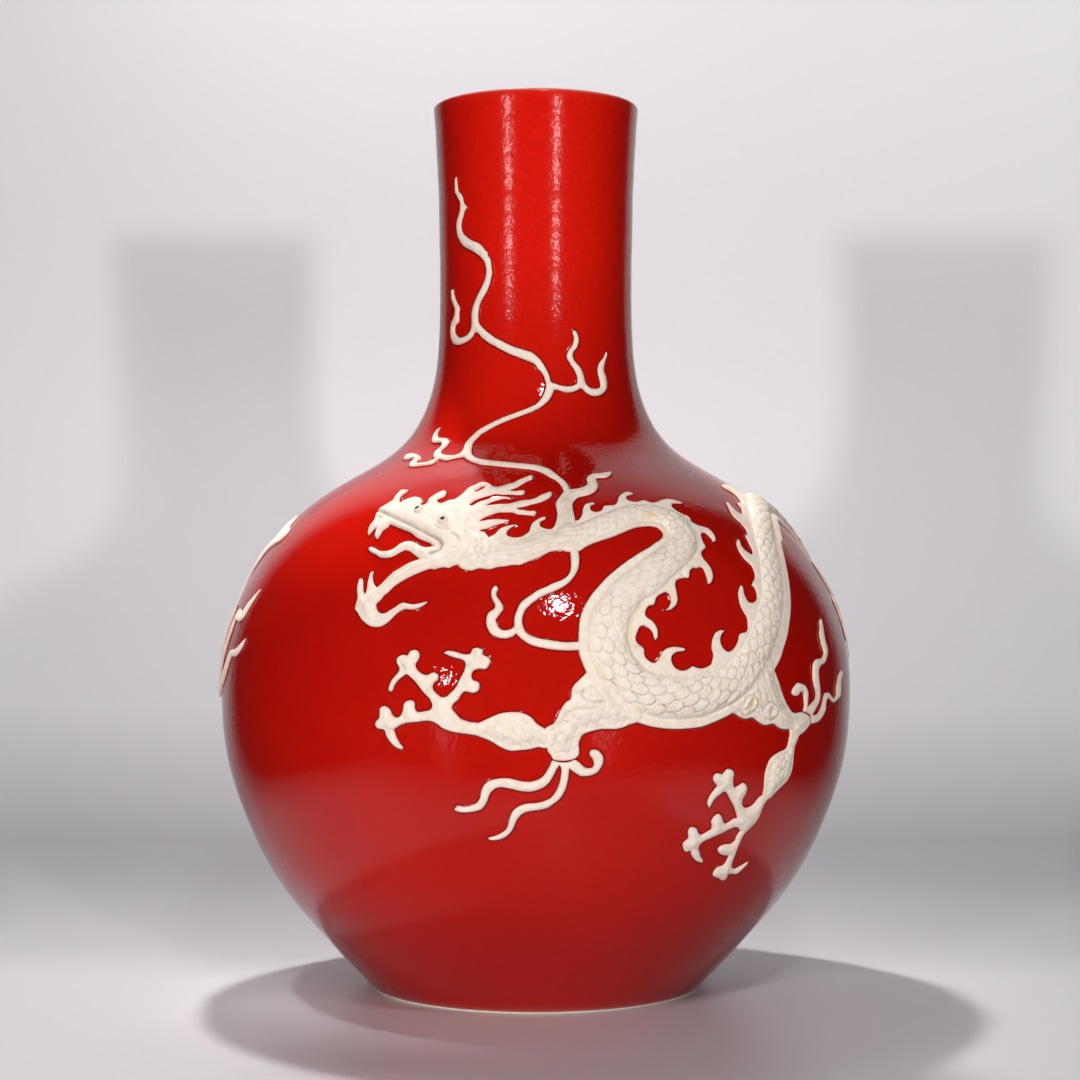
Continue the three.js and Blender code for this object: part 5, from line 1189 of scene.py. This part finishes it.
# Each stretch of the body: its first and last station along the two edges, and its greatest height
SEGMENTS = (("body_arch", 0, 9, 7.4), ("body_bend", 9, 20, 7.4), ("body_shoulder", 20, 32, 7.4),
            ("body_belly", 32, 42, 7.4), ("body_rise", 42, 56, 7.4), ("body_crest", 56, 65, 7.4),
            ("body_descent", 65, 74, 7.4), ("body_low_bend", 74, 90, 7.4), ("body_back_rise", 90, 101, 7.4),
            ("tail", 101, 119, 5.2))
BODY_POINTS, BODY_LIFTS = [], []
for name, first, last, highest in SEGMENTS:
    points, quads, lift, marks = body_piece(first, last, highest, 0.85 if last < 60 else 1.1)
    solid("dragon_" + name, (name,), points, quads.tolist(), lift, marks)
    if name in ("body_shoulder", "body_belly", "body_rise", "body_bend"):
        BODY_POINTS.append(points)
        BODY_LIFTS.append(lift)

# Height of the fins, how far they reach under the body's dome, and the spacing along traced outlines
THIN = 2.3
UNDER = 3.4
OUTLINE_STEP = 0.8
FRINGES = (("fringe_arch", 0, 9, FRINGE_ARCH), ("fringe_bend", 9, 15, FRINGE_BEND),
           ("fringe_hollow", 15, 26, FRINGE_HOLLOW), ("fringe_belly", 26, 38, FRINGE_BELLY),
           ("fringe_rise", 38, 47, FRINGE_RISE), ("fringe_crest", 47, 56, FRINGE_CREST))


def inset(first, last, deep, near=BACK_EDGE, far=BELLY_EDGE):
    """A line a little inside one edge of the body, between two stations"""
    at = np.arange(first, last + 0.01, 0.5)
    start, goal = catmull(near, at), catmull(far, at)
    width = np.hypot(*(goal - start).T) * scale_at(catmull(BACK_EDGE, at))
    return start + (goal - start) * (deep / width)[:, None]


joined = " ".join(text for _, _, _, text in FRINGES)
FRINGE_LINE = [eased(photo(joined, RISE), OUTLINE_STEP, False)]
for k, (name, first, last, text) in enumerate(FRINGES):
    outer = pixels(text)
    if k:
        outer = np.concatenate([pixels(FRINGES[k - 1][3])[-1:], outer])
    outer = eased(flat_from_photo(outer, RISE), OUTLINE_STEP, False)
    inner = inset(first, last, UNDER)[::-1]
    loop = np.concatenate([outer, eased(inner, 1.2, False)])
    plate("dragon_" + name, (name,), loop, THIN, 1.5, FRINGE_LINE, plain)

crest_outer = eased(photo(FRINGE_TOP, RISE), OUTLINE_STEP, False)
crest_inner = eased(inset(56, 60.5, UNDER)[::-1], 1.2, False)
crest_loop = np.concatenate([crest_outer, crest_inner])
plate("dragon_fringe_top", ("fringe_top",), crest_loop, THIN, 1.5, [crest_outer], plain)

# The outline of one fin: a share of its length along the body and of its reach
FIN = ((0.02, 0.22), (0.4, 0.6), (0.94, 1), (0.7, 0.7), (0.6, 0.42), (0.66, 0.24), (0.98, 0.22))


def back_fringe(name, first, last, fins, reach=22.0):
    """Flame fins along the body where the photograph does not show it"""
    at0 = HIDDEN + first
    outer = []
    for fin in range(fins):
        begin = at0 + (last - first) * fin / fins
        size = (last - first) / fins
        at = np.array([begin + share * size for share, _ in FIN])
        back, belly = catmull(BACK_EDGE, at), catmull(BELLY_EDGE, at)
        away = (back - belly) / np.hypot(*(back - belly).T)[:, None]
        out = np.array([tall for _, tall in FIN])[:, None] * reach
        outer.append(back + away * out / scale_at(back)[:, None])
    outer = eased(np.concatenate(outer), 0.9, False)
    inner = eased(inset(at0, HIDDEN + last, UNDER)[::-1], 1.4, False)
    plate("dragon_" + name, (name,), np.concatenate([outer, inner]), THIN, 1.5, [outer], plain)


back_fringe("fringe_low_bend", 17, 31, 6)
back_fringe("fringe_back_rise", 34, 48, 6)


def body_tree():
    """The body's surface near the legs, to lay the thighs over it"""
    points = np.concatenate(BODY_POINTS)
    lifts = np.concatenate(BODY_LIFTS)
    tree = kdtree.KDTree(len(points))
    for k, (x, y) in enumerate(points):
        tree.insert((x, y, 0), k)
    tree.balance()
    return tree, lifts


BODY_TREE, BODY_LIFT = body_tree()


def over_body(texture):
    """Lays a thigh over the body: it never sinks below the body's surface where they overlap"""
    def apply(flat, away, lift, marks):
        texture(flat, away, lift, marks)
        for k, (x, y) in enumerate(flat):
            _, index, gap = BODY_TREE.find((x, y, 0))
            if gap < 1.6:
                lift[k] = max(lift[k], BODY_LIFT[index] + 0.2 + 0.9 * min(1.0, away[k] / 3.0) ** 0.6)
                marks[k, 1] = 0
    return apply


def piece(name, nodes, text, high, wide, bulk, texture=plain, grid=1.5, hole=None):
    """A plate from an outline in pixels of the photograph"""
    if hole:
        hole = eased(photo(hole, RISE), OUTLINE_STEP)
    plate(name, nodes, eased(photo(text, RISE), OUTLINE_STEP), high, wide, None, texture, grid, bulk, hole=hole)


# The red slit between two locks of the mane
MANE_SLIT = "474,490 478,488 482,485.3 486,485.3 484,488 480,490.5 476,492"
HEAD_NODES = ("dragon_skull", "dragon_jaw", "mane_lock_1", "mane_lock_2", "mane_lock_3", "mane_lock_4")
piece("dragon_head", HEAD_NODES, DRAGON_HEAD, 2.4, 2.0, (3.0, 3.0, 16.0), plain, 1.0, hole=MANE_SLIT)
piece("dragon_neck_piece", ("dragon_neck", "neck_fin_front", "neck_fin_rear", "crest_horn"), NECK, 2.4, 2.0,
      (2.6, 3.0, 14.0), plain, 1.0)
piece("dragon_tongue_piece", ("dragon_tongue",), TONGUE, 2.2, 2.0, (1.2, 2.0, 7.0))
piece("fang_front_piece", ("fang_front",), FANG_FRONT, 3.2, 2.2, (1.0, 1.5, 4.0), plain, 1.0)
piece("fang_rear_piece", ("fang_rear",), FANG_REAR, 3.4, 2.4, (1.0, 1.5, 4.0), plain, 1.0)
piece("whisker_upper",
      ("streamer_upper", "streamer_branch_right", "streamer_branch_left", "streamer_branch_low"),
      WHISKER_UPPER, 2.5, 1.9, (0.7, 1.5, 5.0))
piece("whisker_lower", ("streamer_lower", "streamer_lower_curl"), WHISKER_LOWER, 2.5, 1.9, (0.7, 1.5, 5.0))

# Where each thigh ends on the body
LEFT_JOINT = " 590,669 602,679 612,688 621,697 630,706 641,712 640,720"
piece("foreleg_left_thigh", ("foreleg_left_upper",), UPPER_LEFT + LEFT_JOINT, 2.3, 2.0, (2.9, 5.0, 17.0),
      over_body(scaled("612,700", "560,750", 8.5, 0.7, 0.3)), 1.1)
piece("foreleg_left_shin", ("foreleg_left_forearm",),
      "549,731 543.8,728 538,724.5 530,716.5 520,712.5 510,712 500,713.5 490,717.5 477.8,723 473,724.5 "
      "472,734 477,736 490,741 500,747 510,751 520,750.5 530,749.5 539,747.5 545,748.5 550,748",
      2.3, 2.0, (3.0, 3.0, 14.0), scaled("548,739", "478,730", 8.0, 0.6, 0.24), 1.1)
piece("foreleg_left_claw", ("foreleg_left_paw",), PAW_LEFT, 2.6, 2.0, (1.4, 2.0, 9.0), plain, 1.2)
piece("foreleg_left_tassel", ("foreleg_left_ribbons",), RIBBONS_LEFT, 2.4, 1.9, (0.6, 1.5, 5.0))

RIGHT_JOINT = " 771,660 760,664 750,672 742,682 734,692 726,700 724,711"
piece("foreleg_right_thigh", ("foreleg_right_upper",), UPPER_RIGHT + RIGHT_JOINT, 2.3, 2.0, (2.9, 4.0, 15.0),
      over_body(scaled("768,690", "800,732", 7.0, 0.6, 0.55)), 1.0)
piece("foreleg_right_shin", ("foreleg_right_forearm",),
      "790.5,733 789.5,737.8 787.5,747 779,752.5 771,758.5 766.5,769 764.5,780 764.3,787 763,796 "
      "770,798.5 773.5,794.5 780,788 787.5,780 791.5,771.5 793,763 793.8,754 795,746 798,738.5 799,733",
      2.3, 2.0, (2.8, 3.0, 12.0), scaled("794,735", "770,795", 6.8, 0.6, 0.8), 1.0)
piece("foreleg_right_claw", ("foreleg_right_paw",), FORELEG_RIGHT_PAW, 2.6, 2.0, (1.4, 2.0, 9.0), plain, 1.2)
piece("foreleg_right_tassel", ("foreleg_right_ribbons",), FORELEG_RIGHT_RIBBONS, 2.4, 1.9, (0.5, 1.5, 5.0))


def back_piece(name, node, loop, high, wide, texture=plain, grid=1.5, bulk=NO_BULK):
    """A plate at the side or back, from an outline on the flat map"""
    plate(name, (node,), eased(loop, 1.0), high, wide, None, texture, grid, bulk)


def thigh(text, first, last):
    """The outline of a hind thigh that grows out of the body's belly edge"""
    return np.concatenate([inset(HIDDEN + first, HIDDEN + last, 5.0, BELLY_EDGE, BACK_EDGE), vase(text)])


back_piece("hindleg_right_piece", "hindleg_right", thigh(HINDLEG_RIGHT, 11, 15), 2.0, 2.2,
           scaled("104,312", "84,372", 8.0, 0.7, 0.45, True), 1.3, (1.7, 3.0, 15.0))
back_piece("hindleg_left_thigh", "hindleg_left_upper", thigh(HINDLEG_LEFT_UPPER, 44, 46), 2.8, 3.4,
           scaled("230,335", "268,292", 8.5, 0.7, 0.4, True), 1.3, (3.4, 3.0, 13.0))
# The shin reaches a little under the thigh and under the paw
shin = np.concatenate([pixels(HIND_FOREARM_A), pixels(HIND_FOREARM_B)[::-1]])
shin[0, 1] = shin[-1, 1] = 296
shin[6, 1] = shin[7, 1] = 402
back_piece("hindleg_left_shin", "hindleg_left_forearm", flat_from_vase(*shin.T), 2.2, 2.4,
           scaled("264,305", "271,398", 7.5, 0.5, 0.5, True), 1.3, (1.2, 3.0, 12.0))
back_piece("hindleg_left_claw", "hindleg_left_paw", vase(HINDLEG_LEFT_PAW), 2.4, 2.2, bulk=(1.2, 2.0, 9.0))
back_piece("hindleg_left_tassel", "hindleg_left_ribbons", vase(HINDLEG_LEFT_RIBBONS), 2.3, 1.9)
back_piece("tail_tuft_piece", "tail_tuft", vase(TAIL_TUFT), 3.0, 3.5)


def eye(name, node, centre, size, base, pupil_at):
    """A round eyeball with a rim and a black pupil"""
    place = photo("%s,%s" % centre)[0]
    k = float(scale_at(place))
    across, around = 18, 48
    flat = [place]
    away = [0.0]
    for step in range(1, across + 1):
        for turn in range(around):
            a = 2 * math.pi * turn / around
            reach = size * step / across
            flat.append(place + np.array((math.cos(a), math.sin(a))) * reach / k)
            away.append(reach)
    flat, away = np.array(flat), np.array(away)
    share = away / size
    ball = np.sqrt(np.clip(1 - (share * 1.02) ** 2, 0, 1))
    lift = base + 2.6 * ball + 0.5 * np.exp(-((share - 0.82) / 0.09) ** 2)
    marks = np.zeros((len(flat), 3))
    spot = np.hypot(*(flat - place - np.array(pupil_at) / k).T) * k
    marks[:, 0] = 1 / (1 + np.exp((spot - 2.2) / 0.12))
    marks[:, 1] = np.exp(-((share - 0.7) / 0.07) ** 2)
    faces = [[0, 1 + t, 1 + (t + 1) % around] for t in range(around)]
    for step in range(across - 1):
        a = 1 + step * around
        for t in range(around):
            u = (t + 1) % around
            faces.append([a + t, a + around + t, a + around + u, a + u])
    obj = solid(name, (node,), flat, faces, lift, marks)
    obj.data.materials.clear()
    obj.data.materials.append(pupil)


eye("eye_near_ball", "eye_near", (444.3, 524), 5.4, 5.0, (0.2, 0.4))
eye("eye_far_ball", "eye_far", (420.5, 513.5), 4.8, 4.6, (-1.4, 1.0))


# The glaze that stands up against the relief all round it, on a grid of cells of the flat map
CELL = 8.0
CELL_STEPS = 10
# How far a fillet goes under the relief and out over the glaze
UNDER_RELIEF = 1.5
OVER_GLAZE = 2.6
GLAZED = ("vase_upper_globe", "vase_lower_globe", "vase_shoulder", "vase_neck")


def cells_along(lines, low, high):
    """Cells of the flat map that the lines touch between two places along its width, and all round them"""
    cells = set()
    for line in lines:
        count = np.maximum(1, (np.hypot(*np.diff(line, axis=0).T) / 2).astype(int))
        for k in range(int(count.max())):
            pick = count > k
            spots = line[:-1][pick] + np.diff(line, axis=0)[pick] * (k / count[pick])[:, None]
            spots = spots[(spots[:, 0] >= low - CELL) & (spots[:, 0] < high + CELL)]
            cells.update(map(tuple, np.unique(np.floor(spots / CELL).astype(int), axis=0)))
    return sorted(set((i + a, j + b) for i, j in cells for a in (-1, 0, 1) for b in (-1, 0, 1)))


def within_relief(flat):
    """Whether each point is inside any outline of the relief"""
    result = np.zeros(len(flat), bool)
    for loop in OUTLINES:
        box = np.all((flat > loop.min(0)) & (flat < loop.max(0)), axis=1)
        if box.any():
            result[box] |= inside(flat[box], loop)
    return result


def glaze_band(name, low, high):
    """A thin fillet of glaze along every outline between two places along the flat map's width"""
    lines = [ring(loop) for loop in OUTLINES]
    near = [line for line in lines if line[:, 0].max() > low - CELL and line[:, 0].min() < high + CELL]
    base = np.array(cells_along(near, low, high)) * CELL
    i, j = np.meshgrid(np.arange(CELL_STEPS), np.arange(CELL_STEPS))
    step = np.stack([i, j], -1).reshape(-1, 2) * (CELL / CELL_STEPS)
    flat = (base[:, None] + step[None]).reshape(-1, 2)
    index = np.round(flat / (CELL / CELL_STEPS)).astype(int)
    away = distance(flat, near, 5.0)
    within = within_relief(flat)
    keep = np.where(within, away < UNDER_RELIEF, away < OVER_GLAZE)
    keep &= np.abs(flat[:, 0] - (low + high) / 2) < (high - low) / 2 + 1e-6
    flat, index, away, within = flat[keep], index[keep], away[keep], within[keep]
    order = {tuple(p): k for k, p in enumerate(index)}
    quads = []
    for (a, b), k in order.items():
        corners = (order.get((a + 1, b)), order.get((a + 1, b + 1)), order.get((a, b + 1)))
        if None not in corners:
            quads.append([k, *corners])
    used = np.zeros(len(flat), bool)
    used[np.array(quads).ravel()] = True
    new = np.cumsum(used) - 1
    quads = new[np.array(quads)].tolist()
    flat, away, within = flat[used], away[used], within[used]
    lift = np.where(within, 0.75 - 0.9 * away, 1.0 * np.exp(-(away / 1.35) ** 1.5) - 0.25)
    marks = np.zeros((len(flat), 3))
    # Deep: the glaze pooled against the relief, with painted contact shade beside it
    marks[:, 2] = np.where(within, 1, np.exp(-(away / 1.1) ** 2))
    solid(name, GLAZED, flat, quads, lift, marks, (glaze, "glaze"))


# Where each band of fillet begins along the flat map's width, and where the last one ends
BANDS = (("left", -904.0), ("middle_left", -184.0), ("middle", -40.0), ("middle_right", 56.0),
         ("right", 184.0), ("back_right", 424.0), ("back_left", 1000.0), ("", 2000.0))
for (name, low), (_, high) in zip(BANDS, BANDS[1:]):
    glaze_band("glaze_fillet_" + name, low, high)


# Floor, backdrop, lamps and camera, in metres: half the floor's width, the wall's place and its bend
SWEEP = 3.0
WALL_Y = 0.62
BEND = 0.5


def stage_sweep():
    """A pale floor that curves up into the backdrop, with painted shade across it and beyond the lit table"""
    xs = np.linspace(-SWEEP, SWEEP, 61)
    line = [(y, 0.0) for y in (-SWEEP, -1.5, -0.8, -0.4, 0.0, WALL_Y - BEND)]
    for step in range(1, 17):
        a = math.pi / 2 * step / 16
        line.append((WALL_Y - BEND + BEND * math.sin(a), BEND - BEND * math.cos(a)))
    line += [(WALL_Y, z) for z in (0.6, 1.0, 2.0, SWEEP)]
    verts = [(x, y, z) for y, z in line for x in xs]
    n = len(xs)
    faces = [[r * n + c, r * n + c + 1, (r + 1) * n + c + 1, (r + 1) * n + c]
             for r in range(len(line) - 1) for c in range(n - 1)]
    obj = mesh_object("studio_sweep", verts, faces)
    mat, tree, shader = material_nodes("studio")
    place = object_place(tree)
    across, back, up = axes_of(tree, place)
    cloud = ramp(tree, noise_node(tree, place, 1.2, 2.0), 0.3, 0.7)
    floor = blended(tree, cloud, (0.585, 0.575, 0.60), (0.615, 0.60, 0.63))
    # Painted shade: the floor darker to the right and far back, the wall lighter as it rises, where the lamps
    # light it more
    floor = blended(tree, ramp(tree, across, 0.2, 0.5), floor, (0.46, 0.45, 0.47))
    low = blended(tree, ramp(tree, back, 0.02, 0.34), floor, (0.25, 0.245, 0.258))
    low = blended(tree, ramp(tree, up, 0.03, 0.15), low, (0.50, 0.49, 0.505))
    colour = blended(tree, ramp(tree, up, 0.15, 0.5), low, (0.75, 0.735, 0.755))
    # Painted shade: dark beyond the lit table at the sides and high up, and in front
    sideways = add_node(tree, "ShaderNodeMath", operation="ABSOLUTE")
    tree.links.new(across, sideways.inputs[0])
    farther = add_node(tree, "ShaderNodeMath", operation="ADD")
    tree.links.new(sideways.outputs[0], farther.inputs[0])
    tree.links.new(ramp(tree, up, 0.0, 0.3, 0.2, 0.0), farther.inputs[1])
    colour = blended(tree, ramp(tree, farther.outputs[0], 0.58, 0.78), colour, (0.03, 0.03, 0.032))
    colour = blended(tree, ramp(tree, back, -0.28, -0.5), colour, (0.06, 0.06, 0.062))
    tree.links.new(colour, shader.inputs["Base Color"])
    shader.inputs["Roughness"].default_value = 0.36
    tree.links.new(ramp(tree, up, 0.0, 0.05, 0.5, 0.0), shader.inputs["Specular IOR Level"])
    rear = add_node(tree, "ShaderNodeNewGeometry").outputs["Backfacing"]
    clear = add_node(tree, "ShaderNodeBsdfTransparent")
    either = add_node(tree, "ShaderNodeMixShader")
    tree.links.new(rear, either.inputs[0])
    tree.links.new(shader.outputs[0], either.inputs[1])
    tree.links.new(clear.outputs[0], either.inputs[2])
    tree.links.new(either.outputs[0], tree.nodes["Material Output"].inputs["Surface"])
    obj.data.materials.append(mat)
    obj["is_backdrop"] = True


stage_sweep()
VASE_MIDDLE = Vector((0, 0, 0.28))


def lamp(name, place, size, power, aim=VASE_MIDDLE, glossy=True, tall=None, spread=180):
    """An oval lamp of a size in metres and a power in watts, aimed at a point"""
    data = bpy.data.lights.new(name, "AREA")
    data.shape = "ELLIPSE"
    data.size = size
    data.size_y = tall or size
    data.energy = power
    data.spread = math.radians(spread)
    obj = bpy.data.objects.new(name, data)
    obj.location = place
    obj.rotation_euler = (Vector(aim) - Vector(place)).to_track_quat("-Z", "Y").to_euler()
    obj.visible_glossy = glossy
    bpy.context.scene.collection.objects.link(obj)


def aimed(azimuth, elevation, reach):
    """A place seen from the vase at degrees right of the camera's direction and above the horizon"""
    a, e = math.radians(azimuth), math.radians(elevation)
    return VASE_MIDDLE + Vector((math.sin(a) * math.cos(e), -math.cos(a) * math.cos(e), math.sin(e))) * reach


lamp("key", (0.28, -1.58, 1.65), 0.28, 8.5, tall=0.27)
lamp("overhead", (-0.2, 0.46, 1.85), 0.16, 2, aim=(0, 0, 0.1))
lamp("overhead_back", (-0.2, 0.5, 1.5), 0.1, 7.6, aim=(0, -0.05, 0), glossy=False, spread=110)
lamp("low_fill", (-0.95, -0.8, 0.04), 0.2, 0.09, aim=(-0.14, -0.1, 0.02), glossy=False, spread=30)
lamp("front_left", aimed(-31, 6, 2.4), 0.13, 21.5, glossy=False)
lamp("front_right", aimed(25.2, 6, 2.4), 0.13, 20.5, glossy=False)
lamp("glint_left", (-3.13, -5.12, 0.92), 0.16, 16, tall=0.46)
lamp("glint_right", (2.39, -5.5, 0.92), 0.16, 16, tall=0.46)
lamp("shoulder", (-0.45, -0.06, 1.08), 0.05, 0.05, aim=(-0.185, -0.055, 0.3), glossy=False, spread=18)
lamp("wall_wash", (0.62, 0.1, 1.4), 0.9, 1.4, aim=(0.8, 0.62, 0.6), glossy=False, tall=0.15, spread=110)

world = bpy.data.worlds.new("studio")
bpy.context.scene.world = world
world.use_nodes = True
sky = world.node_tree
towards = axes_of(sky, add_node(sky, "ShaderNodeTexCoord").outputs["Generated"])
room = blended(sky, ramp(sky, towards[1], -0.95, -0.2), (0.06, 0.06, 0.063), (0.02, 0.02, 0.022))
sky.links.new(room, sky.nodes["Background"].inputs["Color"])

camera = bpy.data.cameras.new("camera")
camera.sensor_width = 36
camera.lens = camera.sensor_width * CAMERA / PHOTO_SIZE
camera.shift_x = (PHOTO_SIZE / 2 - AXIS_X) / PHOTO_SIZE
camera.shift_y = (HORIZON - PHOTO_SIZE / 2) / PHOTO_SIZE
view = bpy.data.objects.new("camera", camera)
view.location = (0, -CAMERA * PX, FOOT_DROP * PX)
view.rotation_euler = (math.pi / 2, 0, 0)
bpy.context.scene.collection.objects.link(view)
bpy.context.scene.camera = view
bpy.context.scene.view_settings.view_transform = "Standard"

low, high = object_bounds()
